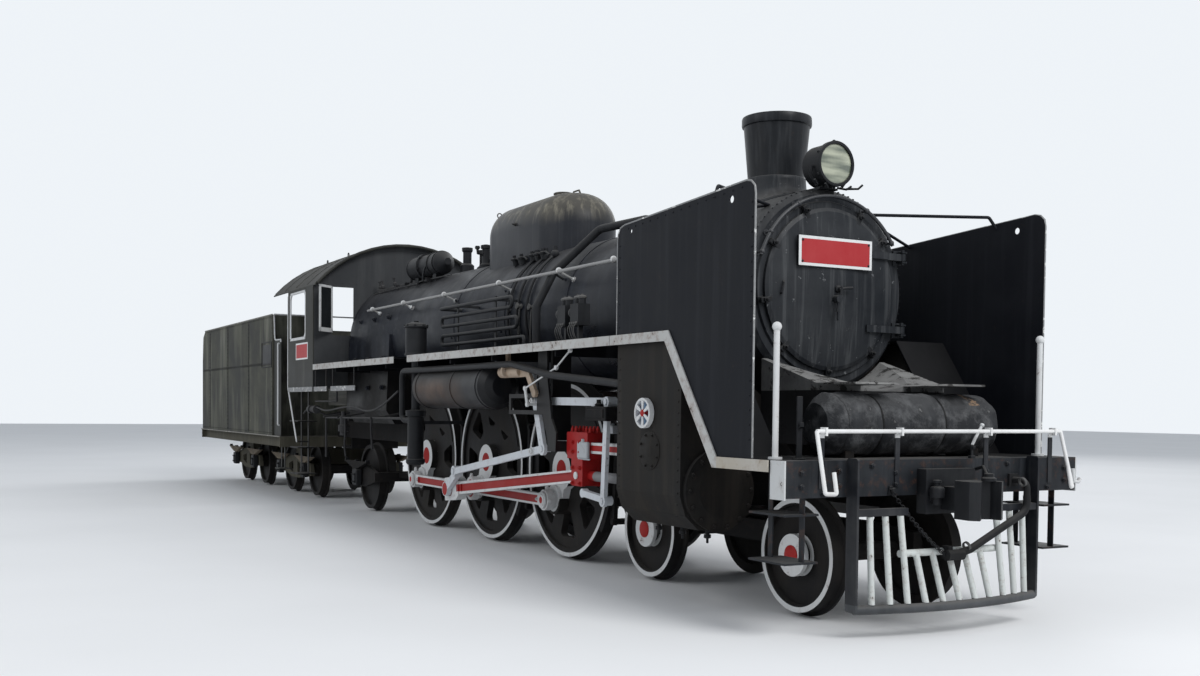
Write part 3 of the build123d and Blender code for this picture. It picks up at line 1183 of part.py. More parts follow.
def outside_bogie(x):
    """Tender bogie: side frames outside the wheels, joined by a bolster over the king pin."""
    half = tender_bogie_wheelbase / 2
    z = small_wheel_radius
    points = [(x - half - 230, z - 90), (x - half + 160, z - 90), (x - 260, z - 160), (x + 260, z - 160),
              (x + half - 160, z - 90), (x + half + 230, z - 90), (x + half + 150, z + 110), (x + 300, z + 210),
              (x - 300, z + 210), (x - half - 150, z + 110)]
    side = side_plate(points, side_frame_inner, side_frame_inner + side_frame_plate)
    for d in (-1, 1):
        window = [(x + d * 130, z - 90), (x + d * 420, z - 30), (x + d * 420, z + 60), (x + d * 130, z + 120)]
        side -= side_plate(window, side_frame_inner - 1, side_frame_inner + side_frame_plate + 1)
    bolster = block(x - 160, x + 160, -side_frame_inner, side_frame_inner, z + 60, z + 330)
    frame = join(side, mirrored(side), bolster)
    frame -= bar_z(z, 1000, x, 0, 60 + running_fit)
    for d in (-1, 1):
        frame -= bar_y(-900, 900, x + d * half, z, small_axle_radius - 8 + running_fit)
    return frame


for name, x in tender_bogies.items():
    save(f"tender_bogie_{name}", outside_bogie(x))

# Tender frame with sills, drawbar and king pins
sills = [block(tender_frame_rear, tender_frame_front, s * 330 - 40, s * 330 + 40, 900, tank_bottom) for s in (-1, 1)]
outer = [block(tender_frame_rear, tender_frame_front,
               *sorted((s * (tank_half_width - 120), s * (tank_half_width - 80))), sill_bottom, tank_bottom)
         for s in (-1, 1)]
deck = block(tender_frame_rear, tender_frame_front, -tank_half_width, tank_half_width, tank_bottom - 14, tank_bottom)
ends = [block(x0, x0 + 40, -tank_half_width, tank_half_width, sill_bottom, tank_bottom)
        for x0 in (tender_frame_rear, tender_frame_front - 40)]
pins = [join(bar_z(620, 990, x, 0, 60), block(x - 200, x + 200, -330, 330, 900, 990))
        for x in tender_bogies.values()]
drawbar = join(block(drawbar_x - 400, drawbar_x, -70, 70, 905, 965), bar_z(905, 965, drawbar_x, 0, 110))
drawbar -= bar_z(800, 1100, drawbar_x, 0, 50 + running_fit)
save("tender_frame", join(*sills, *outer, deck, *ends, *pins, drawbar))
save("tender_coupler", coupler(-1, rear_coupler_face, tender_frame_rear))

# Tender tank with its open coal space
side_points = [(tank_rear, tank_bottom), (tank_front, tank_bottom), (tank_front, tank_top),
               (tank_rear + 260, tank_top), (tank_rear + 60, tank_top - 120), (tank_rear, 2360)]
tank = side_plate(side_points, -tank_half_width, tank_half_width)
coal = side_plate([(coal_rear, coal_floor_rear), (tank_front - tank_plate, coal_floor_front),
                   (tank_front - tank_plate, tank_top + 10), (coal_rear, tank_top + 10)],
                  -tank_half_width + tank_plate, tank_half_width - tank_plate)
gate = block(tank_front - 30, tank_front + 10, -450, 450, coal_floor_front, tank_top + 10)
rear_space = block(tank_rear + 400, coal_rear - tank_plate,
                   -tank_half_width + tank_plate, tank_half_width - tank_plate, 2600, tank_top + 10)
save("tender_tank", tank - coal - gate - rear_space)

# Tender fittings: wing plates and grab rails at the front, ladder, water filler and steps
fittings = []
for s in (-1, 1):
    y = sorted((s * (tank_half_width - 40), s * (tank_half_width - 28)))
    wing = side_plate([(tank_front, tank_bottom), (tender_wing_front, tank_bottom),
                       (tender_wing_front, tender_wing_top), (tank_front + 40, tender_wing_top),
                       (tank_front, tank_top)], *y)
    hold = s * (tank_half_width - 34)
    rail_y = s * (tank_half_width - 2)
    rail = pipe([(tender_rail_x, hold, tender_wing_top - 60), (tender_rail_x, rail_y, tender_wing_top - 60),
                 (tender_rail_x, rail_y, tank_bottom + 180), (tender_rail_x, hold, tank_bottom + 180)], 13, 14)
    fittings.append(join(wing, rail))
    strap_y = sorted((s * (tank_half_width - 106), s * (tank_half_width - 94)))
    tread_y = sorted((s * (tank_half_width - 200), s * tank_half_width))
    step = join(block(tender_rail_x - 170, tender_rail_x + 100, *tread_y, 480, 494),
                block(tender_rail_x - 160, tender_rail_x - 110, *strap_y, 480, sill_bottom),
                block(tender_rail_x + 40, tender_rail_x + 90, *strap_y, 480, sill_bottom))
    fittings.append(step)
ladder = [block(tank_rear - 60, tank_rear - 30, y - 12, y + 12, tank_bottom + 20, 2340) for y in (-230, 230)]
for y in (-230, 230):
    for z in (tank_bottom + 100, 2200):
        ladder.append(block(tank_rear - 45, tank_rear, y - 12, y + 12, z - 15, z + 15))
for k in range(5):
    ladder.append(bar_y(-230, 230, tank_rear - 45, tank_bottom + 160 + 260 * k, 11))
fittings.append(join(*ladder))
filler = turned_z([(0, 2600), (filler_radius, 2600), (filler_radius, 2690), (filler_radius + 25, 2690),
                   (filler_radius + 25, 2725), (filler_radius - 40, 2745), (0, 2745)], filler_x, 0)
fittings.append(filler)
save("tender_fittings", *fittings)
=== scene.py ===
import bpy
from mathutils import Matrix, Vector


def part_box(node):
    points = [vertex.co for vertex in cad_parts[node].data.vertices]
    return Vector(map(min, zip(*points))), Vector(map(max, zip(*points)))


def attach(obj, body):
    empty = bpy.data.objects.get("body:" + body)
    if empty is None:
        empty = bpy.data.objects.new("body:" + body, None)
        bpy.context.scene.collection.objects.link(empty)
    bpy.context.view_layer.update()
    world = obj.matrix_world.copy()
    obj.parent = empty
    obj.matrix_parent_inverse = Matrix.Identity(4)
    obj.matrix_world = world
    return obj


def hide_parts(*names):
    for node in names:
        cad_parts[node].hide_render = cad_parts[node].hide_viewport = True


bl_info = {
    "name": "Steam Locomotive",
    "version": (1, 0, 0),
    "blender": (4, 5, 0),
    "location": "View3D > Sidebar > Locomotive",
    "description": "Dresses the locomotive's metalwork with its paint, bolts, trim and lamp, and sets the stage",
    "category": "Object",
}

import math

import bpy
from bpy.props import FloatProperty, FloatVectorProperty, PointerProperty
from mathutils import Matrix, Vector
from mathutils import noise as lumps

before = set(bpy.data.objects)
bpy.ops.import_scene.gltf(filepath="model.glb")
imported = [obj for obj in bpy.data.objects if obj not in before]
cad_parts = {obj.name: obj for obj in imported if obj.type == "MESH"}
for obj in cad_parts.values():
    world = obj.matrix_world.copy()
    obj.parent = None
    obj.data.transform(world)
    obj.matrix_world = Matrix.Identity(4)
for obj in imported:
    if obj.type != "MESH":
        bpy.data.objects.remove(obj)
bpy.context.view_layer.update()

# Places of the engine in millimetres, and the degrees at which each side's main crank stands
AXLE_SPACING = 1900
AXLE_HEIGHT = 875
CRANK_THROW = 330
CRANK_DEGREES = {"right": 248, "left": 338}
MAIN_ROD_LENGTH = 3185
CYLINDER_HEIGHT = 890
CROSSHEAD_X = {"right": 3048, "left": 3488}
BOILER_AXIS = 2458
SMOKEBOX_RADIUS = 797
CHIMNEY_X = 4488
DRUM_X = 6062
SIDES = {"right": -1, "left": 1}
AHEAD, BACK, UP, DOWN = (1, 0, 0), (-1, 0, 0), (0, 0, 1), (0, 0, -1)
RIGHT, LEFT = (0, -1, 0), (0, 1, 0)

# Plain enamels: base, the paler colour of streaks and patches, and what differs from the usual
ENAMELS = {
    "boiler_black": ("black", (0.04, 0.045, 0.06),
                     dict(rough=0.26, streak=0.4, patch=0.22, dust=0.4, width=1.4, bump=0.35,
                          specular=0.14, spread=0.3)),
    "cab_black": ((0.022, 0.0225, 0.0205), (0.07, 0.069, 0.06),
                  dict(rough=0.5, streak=0.6, patch=0.5, width=2)),
    "cab_wall_grey": ((0.036, 0.038, 0.041), (0.085, 0.087, 0.088), dict(rough=0.55, streak=0.5, width=2)),
    "smokebox_grey": ((0.014, 0.016, 0.0195), (0.1, 0.104, 0.108), dict(
        rough=0.36, streak=0.6, patch=0.2, dust=0.6, width=0.5, chips=0.4, stain=(0.012, 0.012, 0.013))),
    "chimney_black": ((0.0085, 0.0097, 0.012), (0.045, 0.048, 0.052), dict(
        rough=0.3, streak=0.6, patch=0.2, dust=0.4, width=0.6, specular=0.16)),
    "deflector_black": ((0.0075, 0.0085, 0.0115), (0.024, 0.026, 0.031), dict(
        rough=0.46, streak=0.5, patch=0.3, dust=0.3, width=0.8, chips=0.12, specular=0.1)),
    "tender_streaked": ((0.02, 0.0207, 0.018), (0.17, 0.17, 0.135), dict(
        rough=0.6, streak=0.9, patch=0.5, dust=0.6, width=3.4, chips=0.25)),
    "seam_dark": ((0.01, 0.01, 0.009), (0.06, 0.058, 0.045),
                  dict(rough=0.6, streak=0.8, patch=0.4, width=3.4)),
    "sill_brown": ((0.06, 0.056, 0.042), (0.15, 0.14, 0.11), dict(rough=0.7, streak=0.5, dust=0.6)),
    "frame_soot": ("soot", (0.03, 0.027, 0.024),
                   dict(rough=0.62, streak=0.4, patch=0.5, dust=0.6, chips=0.3, specular=0.1)),
    "cladding_black": ((0.01, 0.01, 0.0102), (0.034, 0.029, 0.024),
                       dict(rough=0.5, streak=0.6, patch=0.55, specular=0.1)),
    "iron_black": ((0.0105, 0.0112, 0.013), (0.045, 0.047, 0.05),
                   dict(streak=0.3, patch=0.45, dust=0.6, specular=0.14)),
    "pipe_grey": ((0.02, 0.02, 0.022), (0.08, 0.08, 0.08), dict(rough=0.5, streak=0.3, patch=0.5, dust=0.6)),
    "edging_pale": ((0.24, 0.245, 0.25), (0.42, 0.42, 0.41),
                    dict(rough=0.55, chips=0.62, stain=(0.07, 0.055, 0.045))),
    "hose_rubber": ((0.014, 0.014, 0.015), (0.04, 0.04, 0.04), dict(rough=0.7, dust=0.6, chips=0)),
    "dirty_steel": ((0.08, 0.08, 0.08), (0.2, 0.195, 0.185), dict(chips=0.4, streak=0.2)),
    "oil_box_grey": ((0.4, 0.42, 0.44), (0.52, 0.53, 0.54), dict(rough=0.45, chips=0.35)),
    "red_paint": ((0.33, 0.014, 0.013), (0.4, 0.045, 0.04), dict(rough=0.4, chips=0.3, dust=0.1)),
    "plate_field": ("plate_red", (0.5, 0.1, 0.1), dict(rough=0.4, chips=0.1, dust=0, streak=0.15)),
    "plate_border": ((0.76, 0.77, 0.77), (0.7, 0.7, 0.69), dict(rough=0.4, chips=0.12, dust=0, streak=0.2)),
    "disc_blue": ((0.16, 0.26, 0.4), (0.28, 0.34, 0.42), dict(rough=0.45, chips=0.2, dust=0.1)),
    "ledge_pale": ((0.2, 0.195, 0.175), (0.34, 0.33, 0.3), dict(rough=0.6, chips=0.6, dust=0.4)),
    "dark_glass": ((0.012, 0.014, 0.016), (0.03, 0.032, 0.034),
                   dict(rough=0.08, chips=0, dust=0.2, bump=0.05)),
    "reverser_beige": ("beige", (0.5, 0.42, 0.34),
                       dict(rough=0.5, chips=0.5, dust=0.2, stain=(0.16, 0.07, 0.03))),
    "spring_beige": ((0.2, 0.165, 0.125), (0.3, 0.26, 0.21), dict(rough=0.75, chips=0.4)),
}

# Look of each CAD node, apart from the wheels and the rods
NODE_LOOKS = {
    "boiler_black": "boiler", "firebox_paint": "firebox",
    "cab_black": "cab_side_left cab_side_right cab_roof",
    "cab_wall_grey": "cab_front backhead", "smokebox_grey": "smokebox smokebox_door",
    "chimney_black": "chimney",
    "deflector_black": "smoke_deflector_left smoke_deflector_right", "tender_streaked": "tender_tank",
    "tender_fittings_paint": "tender_fittings",
    "sill_brown": "tender_frame tender_bogie_front tender_bogie_rear",
    "frame_soot": "main_frame leading_bogie trailing_truck brake_gear", "cladding_black": "cylinders",
    "iron_black": "front_coupler tender_coupler headlamp safety_valves auxiliary_machines boiler_pipes",
    "dome_paint": "dome", "pilot_paint": "pilot", "board_paint": "running_board_left running_board_right",
    "beam_paint": "buffer_beam", "platform_paint": "front_platform", "rail_paint": "uncoupling_rail",
    "step_paint": "cab_floor", "drum_skin": "front_drum", "apron_flaked": "apron",
    "crosshead_red": "crosshead_left crosshead_right", "slide_bar_paint": "slide_bars",
    "gear_paint": "valve_gear_left valve_gear_right", "hose_rubber": "brake_hose",
    "rail_steel": "boiler_handrails",
    "reservoir_paint": "reservoirs",
}

# Carrying wheels: x and height of their axle
CARRYING_WHEELS = {"leading_wheels_front": (5630, 430), "leading_wheels_rear": (3520, 430),
                   "trailing_wheels": (-4350, 470),
                   "tender_front_wheels_1": (-7195.5, 430), "tender_front_wheels_2": (-8752.5, 430),
                   "tender_rear_wheels_1": (-10719.5, 430), "tender_rear_wheels_2": (-12276.5, 430)}

groups = {}
looks = {}


def spot(x, y, z):
    """Point given in millimetres from the main driving axle and the rail top."""
    return Vector(((x + 3190) / 1000, y / 1000, (z + 30) / 1000))


def crankpin(side):
    """Side's sign, and its main crankpin's x and z."""
    angle = math.radians(CRANK_DEGREES[side])
    return SIDES[side], CRANK_THROW * math.cos(angle), AXLE_HEIGHT + CRANK_THROW * math.sin(angle)


def colour_property(name, description, value):
    return FloatVectorProperty(name=name, description=description, subtype="COLOR", size=3, min=0, max=1,
                               default=value)


class PaintColours(bpy.types.PropertyGroup):
    """Colours of the paints"""
    black: colour_property("Black", "Black enamel of boiler, cab and plates", (0.009, 0.0105, 0.0145))
    soot: colour_property("Soot", "Deep black of the frames and the running gear", (0.008, 0.008, 0.009))
    white: colour_property("White", "White of rims, rails and rods", (0.66, 0.67, 0.67))
    red: colour_property("Red", "Red of rod flutes and crossheads", (0.3, 0.016, 0.014))
    plate_red: colour_property("Plate red", "Red field of the blank plates", (0.4, 0.03, 0.035))
    beige: colour_property("Beige", "Primer beige of the reversing cylinder", (0.42, 0.33, 0.25))
    rust: colour_property("Rust", "Rust at chips and seams", (0.16, 0.062, 0.026))
    dust: colour_property("Dust", "Dust lying on faces that look up", (0.13, 0.125, 0.118))


class FittingSizes(bpy.types.PropertyGroup):
    """Sizes of the small fittings"""
    rivet: FloatProperty(name="Rivet", description="Width of a rivet head", default=0.026, unit="LENGTH")
    bolt: FloatProperty(name="Bolt", description="Width of a bolt head", default=0.036, unit="LENGTH")
    edging: FloatProperty(name="Edging", description="Width of the plates' pale edging", default=0.016,
                          unit="LENGTH")
    clamp: FloatProperty(name="Clamp", description="Reach of the smokebox door's clamps", default=0.13,
                         unit="LENGTH")


class StageSettings(bpy.types.PropertyGroup):
    """Light and floor"""
    floor_colour: colour_property("Floor", "Colour of the floor", (0.86, 0.865, 0.87))
    sky_strength: FloatProperty(name="Sky strength", description="Strength of the light from all round",
                                default=0.5)
    key_power: FloatProperty(name="Key power", description="Power of the large lamp ahead", default=4300.0)


def hue(name):
    """Colour of the panel under a name, or a colour as it is."""
    return tuple(getattr(bpy.context.scene.paint_colours, name)) if isinstance(name, str) else name


# Node helpers
def add(tree, kind, inputs=None, **settings):
    node = tree.nodes.new(kind)
    for key, value in settings.items():
        setattr(node, key, value)
    for key, value in (inputs or {}).items():
        if isinstance(value, bpy.types.NodeSocket):
            tree.links.new(value, node.inputs[key])
        else:
            node.inputs[key].default_value = value
    return node


def calc(tree, operation, a, b=0.0, clamp=False):
    return add(tree, "ShaderNodeMath", {0: a, 1: b}, operation=operation, use_clamp=clamp).outputs[0]


def parts(tree, vector):
    return add(tree, "ShaderNodeSeparateXYZ", {0: vector}).outputs


def mix(tree, share, *colours):
    a, b = ((*c, 1) if isinstance(c, tuple) else c for c in colours)
    return add(tree, "ShaderNodeMix", {0: share, 6: a, 7: b}, data_type="RGBA").outputs[2]


def ramp(tree, value, low, high, start=0.0, end=1.0):
    return add(tree, "ShaderNodeMapRange", {0: value, 1: low, 2: high, 3: start, 4: end}).outputs[0]


def noise(tree, vector, scale, detail=4.0, roughness=0.6):
    return add(tree, "ShaderNodeTexNoise", {"Vector": vector, "Scale": scale, "Detail": detail,
                                            "Roughness": roughness}).outputs[0]


def weather(tree, into):
    """Streaks running down, cloudy patches, fine grain and dust lying on faces that look up."""
    across = calc(tree, "DIVIDE", 9.0, into["Width"])
    down = add(tree, "ShaderNodeCombineXYZ", {0: across, 1: across, 2: 0.42}).outputs[0]
    drawn = add(tree, "ShaderNodeVectorMath", {0: into["Vector"], 1: down}, operation="MULTIPLY").outputs[0]
    patches = ramp(tree, noise(tree, into["Vector"], 1.3, 6.0, 0.65), 0.38, 0.68)
    up = parts(tree, add(tree, "ShaderNodeNewGeometry").outputs["Normal"])[2]
    settled = calc(tree, "MULTIPLY", ramp(tree, up, 0.25, 0.95), ramp(tree, patches, 0.0, 1.0, 0.55, 1.0))
    return {"Streaks": ramp(tree, noise(tree, drawn, 1.0, 6.0, 0.62), 0.5, 0.72), "Patches": patches,
            "Grain": noise(tree, into["Vector"], 75.0, 3.0, 0.7), "Settled": settled}


def chips(tree, into):
    """Small broken spots of paint and the stains round them, more of them where the amount is higher."""
    fine = noise(tree, into["Vector"], calc(tree, "DIVIDE", 14.0, into["Size"]), 9.0, 0.72)
    limit = calc(tree, "SUBTRACT", 0.76, calc(tree, "MULTIPLY", into["Amount"], 0.3))
    above = calc(tree, "SUBTRACT", fine, limit)
    return {"Chips": ramp(tree, above, 0.0, 0.025), "Stains": ramp(tree, above, -0.12, 0.05)}


def reach(tree, into):
    """Distance from an axle that lies across, at a place given by X and Z."""
    place = parts(tree, into["Vector"])
    squares = []
    for k, label in ((0, "X"), (2, "Z")):
        away = calc(tree, "SUBTRACT", place[k], into[label])
        squares.append(calc(tree, "MULTIPLY", away, away))
    return {"Radius": calc(tree, "SQRT", calc(tree, "ADD", *squares))}


def make_group(build, **inputs):
    """Node group that takes a place and some numbers, and puts out what build makes of them."""
    tree = groups[build.__name__] = bpy.data.node_groups.new(build.__name__, "ShaderNodeTree")
    tree.interface.new_socket("Vector", in_out="INPUT", socket_type="NodeSocketVector")
    for label, value in inputs.items():
        tree.interface.new_socket(label, in_out="INPUT", socket_type="NodeSocketFloat").default_value = value
    results = build(tree, tree.nodes.new("NodeGroupInput").outputs)
    out = tree.nodes.new("NodeGroupOutput")
    for label, value in results.items():
        tree.interface.new_socket(label, in_out="OUTPUT", socket_type="NodeSocketFloat")
        tree.links.new(value, out.inputs[label])


class Paint:
    """One material under way: its tree, its place on the object and the shared effects."""

    def __init__(self, name, width=1.0, amount=0.3, size=1.0):
        self.material = bpy.data.materials.new(name)
        self.material.use_nodes = True
        self.tree = self.material.node_tree
        self.shader = self.tree.nodes["Principled BSDF"].inputs
        self.place = add(self.tree, "ShaderNodeTexCoord").outputs["Object"]
        self.x, self.y, self.z = parts(self.tree, self.place)
        effects = self.effect("weather", Width=width)
        self.streaks, self.patches, self.grain, self.settled = effects
        self.chips, self.stains = self.effect("chips", Amount=amount, Size=size)

    def effect(self, group, **inputs):
        return add(self.tree, "ShaderNodeGroup", {"Vector": self.place, **inputs},
                   node_tree=groups[group]).outputs

    def reach(self, x, z):
        """Distance from an axle at an x and z in millimetres."""
        place = spot(x, 0, z)
        return self.effect("reach", X=place.x, Z=place.z)[0]

    def beyond(self, value, limit):
        return calc(self.tree, "GREATER_THAN", value, limit)

    def below(self, value, limit):
        return calc(self.tree, "LESS_THAN", value, limit)

    def within(self, value, low, high):
        return self.times(self.beyond(value, low), self.below(value, high))

    def fold(self, operation, values):
        result = values[0]
        for value in values[1:]:
            result = calc(self.tree, operation, result, value)
        return result

    def times(self, *values):
        return self.fold("MULTIPLY", values)

    def plus(self, *values):
        return self.fold("ADD", values)

    def either(self, *masks):
        return self.fold("MAXIMUM", masks)

    def side(self):
        """Distance to either side of the middle."""
        return calc(self.tree, "ABSOLUTE", self.y)

    def mix(self, share, a, b):
        return mix(self.tree, share, a, b)

    def ramp(self, *values):
        return ramp(self.tree, *values)

    def noise(self, *values):
        return noise(self.tree, self.place, *values)

    def enamel(self, base, pale, streak=0.35, patch=0.35, dust=0.5, dust_colour="dust"):
        """Weathered enamel: base with paler streaks and patches, and dust lying on it."""
        colour = self.mix(self.times(self.streaks, streak), hue(base), pale)
        colour = self.mix(self.times(self.patches, patch), colour, pale)
        return self.mix(self.times(self.settled, dust), colour, hue(dust_colour))

    def chipped(self, colour, under, stain, share=0.45):
        """Colour with stains round its chips, and what lies under it in them."""
        colour = self.mix(self.times(self.stains, share), colour, hue(stain))
        return self.mix(self.chips, colour, hue(under))

    def white(self, share=0.35, base="white"):
        """White enamel, stained and chipped."""
        base = hue(base)
        colour = self.mix(self.times(self.patches, 0.35), base, tuple(c * 0.72 for c in base))
        colour = self.mix(self.times(self.streaks, 0.12), colour, hue("rust"))
        return self.chipped(colour, (0.06, 0.055, 0.05), "rust", share)

    def finish(self, colour, rough=0.45, spread=0.2, bump=0.25, height=0.0, distance=0.002, specular=0.2):
        """Gives the shader its colour, roughness and relief, and keeps the look under its name."""
        rough = self.plus(self.times(self.patches, spread), rough)
        rough = calc(self.tree, "ADD", rough, self.times(self.settled, 0.25), clamp=True)
        relief = self.plus(self.times(self.grain, 0.35), self.times(self.chips, -0.5), height)
        bumped = add(self.tree, "ShaderNodeBump",
                     {"Strength": bump, "Distance": distance, "Height": relief}).outputs[0]
        for value, label in ((colour, "Base Color"), (rough, "Roughness"), (bumped, "Normal")):
            self.tree.links.new(value, self.shader[label])
        self.shader["Specular IOR Level"].default_value = specular
        looks[self.material.name] = self.material


def plain_enamel(name, base, pale, rough=0.42, streak=0.35, patch=0.35, dust=0.5, width=1.0, chips=0.22,
                 bump=0.25,
                 stain=(0.05, 0.035, 0.025), specular=0.15, spread=0.2):
    p = Paint(name, width, chips)
    colour = p.chipped(p.enamel(base, pale, streak, patch, dust), tuple(c * 1.6 for c in pale), stain, 0.3)
    p.finish(colour, rough, spread, bump, specular=specular)


def paint_node(node, look):
    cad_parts[node].material_slots[0].material = looks[look]


class LOCO_OT_paints(bpy.types.Operator):
    """Makes the shared effects and the paints, and puts them on the metalwork"""
    bl_idname = "loco.paints"
    bl_label = "Paints"

    def execute(self, context):
        make_group(weather, Width=1.0)
        make_group(chips, Amount=0.3, Size=1.0)
        make_group(reach, X=0.0, Z=0.0)
        for name, (base, pale, differing) in ENAMELS.items():
            plain_enamel(name, base, pale, **differing)
        self.upper_paints()
        self.front_paints()
        self.lower_paints()
        for side in SIDES:
            self.rod_paints(side)
        for name, x in (("front", AXLE_SPACING), ("main", 0), ("rear", -AXLE_SPACING)):
            self.wheel_paint(f"driving_wheels_{name}", x, AXLE_HEIGHT, 0.877, 0.105, 0.2, cranked=True)
        for node, (x, z) in CARRYING_WHEELS.items():
            if node.startswith("leading"):
                self.wheel_paint(node, x, z, z / 1000 + 0.002, 0.075, 0.158)
            else:
                self.wheel_paint(node, x, z)
        for look, nodes in NODE_LOOKS.items():
            for node in nodes.split():
                paint_node(node, look)
        return {"FINISHED"}

    def upper_paints(self):
        """Looks of the boiler, the lamp, the dome and the tender's fittings."""
        p = Paint("firebox_paint", 1.4, 0.3, 1.2)
        flaked = p.times(p.stains, p.within(p.z, 2.3, 2.85), p.below(p.x, 0.5), 0.6)
        upper = p.mix(flaked, p.enamel("black", (0.04, 0.045, 0.06), 0.4, 0.25, 0.4), (0.1, 0.102, 0.105))
        # Below about 2 m the firebox takes a darker, less blue black: painted shade on its lower part.
        lower = p.enamel("soot", (0.022, 0.02, 0.018), 0.4, 0.5, 0.5)
        p.finish(p.mix(p.ramp(p.z, 2.0, 2.12, 1.0, 0.0), upper, lower), 0.3, 0.3, 0.35, specular=0.13)

        p = Paint("rail_steel", 1.0, 0.35, 0.8)
        steel = p.enamel((0.24, 0.24, 0.24), (0.36, 0.36, 0.35), 0.2, 0.5, 0.3)
        steel = p.chipped(steel, (0.06, 0.06, 0.06), "rust", 0.3)
        front = p.enamel("black", (0.08, 0.082, 0.086), 0.4, 0.4, 0.5)
        p.finish(p.mix(p.beyond(p.x, 8.33), steel, front), 0.4, specular=0.5)

        p = Paint("reservoir_paint", 1.2, 0.25)
        dark = p.enamel((0.009, 0.0095, 0.0115), (0.03, 0.029, 0.028), 0.4, 0.4, 0.5)
        # The brownish band along the reservoirs' side, between about 1.52 and 1.86 m, is a painted sheen where
        # light falls on them.
        painted_sheen = p.times(p.ramp(p.z, 1.52, 1.64), p.ramp(p.z, 1.86, 1.74), p.ramp(p.x, 2.5, 2.8),
                       p.ramp(p.x, 4.1, 3.6),
                       p.ramp(p.noise(1.6, 4.0, 0.6), 0.36, 0.6, 0.25, 0.9))
        p.finish(p.mix(painted_sheen, dark, (0.1, 0.058, 0.036)), 0.36)

        p = Paint("lamp_lens", 1.0, 0.0)
        ribs = add(p.tree, "ShaderNodeTexWave", {"Vector": p.place, "Scale": 22.0},
                   bands_direction="Y").outputs[1]
        drawn = add(p.tree, "ShaderNodeMapping", {"Vector": p.place, "Scale": (1, 2.0, 11.0)}).outputs[0]
        band = p.ramp(noise(p.tree, drawn, 1.3, 2.0, 0.5), 0.36, 0.64)
        glass = p.mix(p.times(ribs, 0.1), p.mix(band, (0.07, 0.09, 0.06), (0.4, 0.42, 0.31)),
                      (0.5, 0.51, 0.44))
        p.shader["Coat Weight"].default_value = 1.0
        p.shader["Coat Roughness"].default_value = 0.03
        p.finish(glass, 0.08, 0.05, 0.1, ribs, 0.001, 0.6)

        p = Paint("tender_fittings_paint", 1.2)
        rails = p.times(p.beyond(p.side(), 1.3535), p.beyond(p.z, 0.9))
        p.finish(p.mix(rails, p.enamel((0.026, 0.027, 0.025), (0.08, 0.08, 0.075), 0.6, 0.35, 0.6),
                       p.white(0.3)), 0.5)

        p = Paint("dome_paint", 0.6, 0.2)
        high = p.ramp(p.plus(p.z, p.times(p.patches, 0.12)), 3.56, 3.78)
        lower = p.enamel((0.012, 0.0135, 0.018), (0.045, 0.048, 0.055), 0.4, 0.3, 0.2)
        upper = p.enamel((0.035, 0.0335, 0.032), (0.24, 0.22, 0.17), 0.9, 0.25, 0.3)
        p.finish(p.chipped(p.mix(high, lower, upper), (0.16, 0.15, 0.12), (0.05, 0.04, 0.03), 0.3), 0.34)

    def front_paints(self):
        """Looks of the pilot, beam, platform, boards, steps, drum and apron."""
        p = Paint("white_paint", 1.0, 0.34, 0.8)
        p.finish(p.white(), 0.42)

        p = Paint("pilot_paint", 1.0, 0.42, 0.7)
        plates = p.either(p.beyond(p.side(), 0.836), p.beyond(p.z, 0.822))
        colour = p.mix(plates, p.white(0.4, (0.62, 0.65, 0.63)),
                       p.enamel("black", (0.09, 0.09, 0.09), 0.3, 0.5, 0.8))
        foot = p.enamel((0.035, 0.038, 0.042), (0.12, 0.125, 0.13), 0.3, 0.7, 0.9)
        p.finish(p.mix(p.below(p.z, 0.234), colour, foot), 0.46)

        p = Paint("board_paint", 1.0, 0.46, 1.3)
        strip = p.beyond(p.side(), 1.3915)
        stained = p.times(p.beyond(p.x, 8.9), p.ramp(p.patches, 0.0, 1.0, 0.35, 0.8))
        edge = p.mix(stained, p.white(0.6, (0.5, 0.5, 0.485)), (0.42, 0.36, 0.27))
        # The boards' black is darker and carries less dust than the other blacks: painted shade of the smoke
        # deflectors.
        colour = p.mix(strip, p.enamel((0.0055, 0.006, 0.0075), (0.018, 0.018, 0.019), 0.2, 0.4, 0.12), edge)
        joints = [p.within(p.x, x - 0.003, x + 0.003) for x in (3.66, 5.908, 7.345)]
        gap = p.times(p.either(*joints), strip, p.beyond(p.z, 2.03))
        p.finish(p.mix(gap, colour, (0.01, 0.01, 0.01)), 0.55, specular=0.06)

        p = Paint("beam_paint", 1.0, 0.36)
        face = p.enamel((0.0105, 0.012, 0.0145), (0.06, 0.065, 0.073), 0.4, 0.4, 0.8, (0.1, 0.1, 0.098))
        colour = p.mix(p.beyond(p.side(), 1.3665), face, (0.55, 0.56, 0.56))
        p.finish(p.chipped(colour, (0.05, 0.045, 0.04), "rust", 0.3), 0.4, specular=0.15)

        p = Paint("platform_paint")
        floor = p.enamel("black", (0.1, 0.1, 0.1), 0.3, 0.5, 1.0)
        p.finish(p.mix(p.beyond(p.z, 1.2005), floor, p.white(0.25)), 0.45)

        p = Paint("rail_paint")
        stands = p.times(p.below(p.z, 1.35), p.below(p.x, 9.667))
        p.finish(p.mix(stands, p.white(0.2, (0.8, 0.8, 0.79)), p.enamel("black", (0.1, 0.1, 0.1))), 0.4)

        p = Paint("step_paint")
        columns = p.times(p.either(p.beyond(p.side(), 1.3805), p.below(p.x, -2.806)), p.beyond(p.z, 0.9))
        p.finish(p.mix(columns, p.enamel("soot", (0.06, 0.056, 0.05), 0.4, 0.5, 0.9), p.white(0.3)), 0.5)

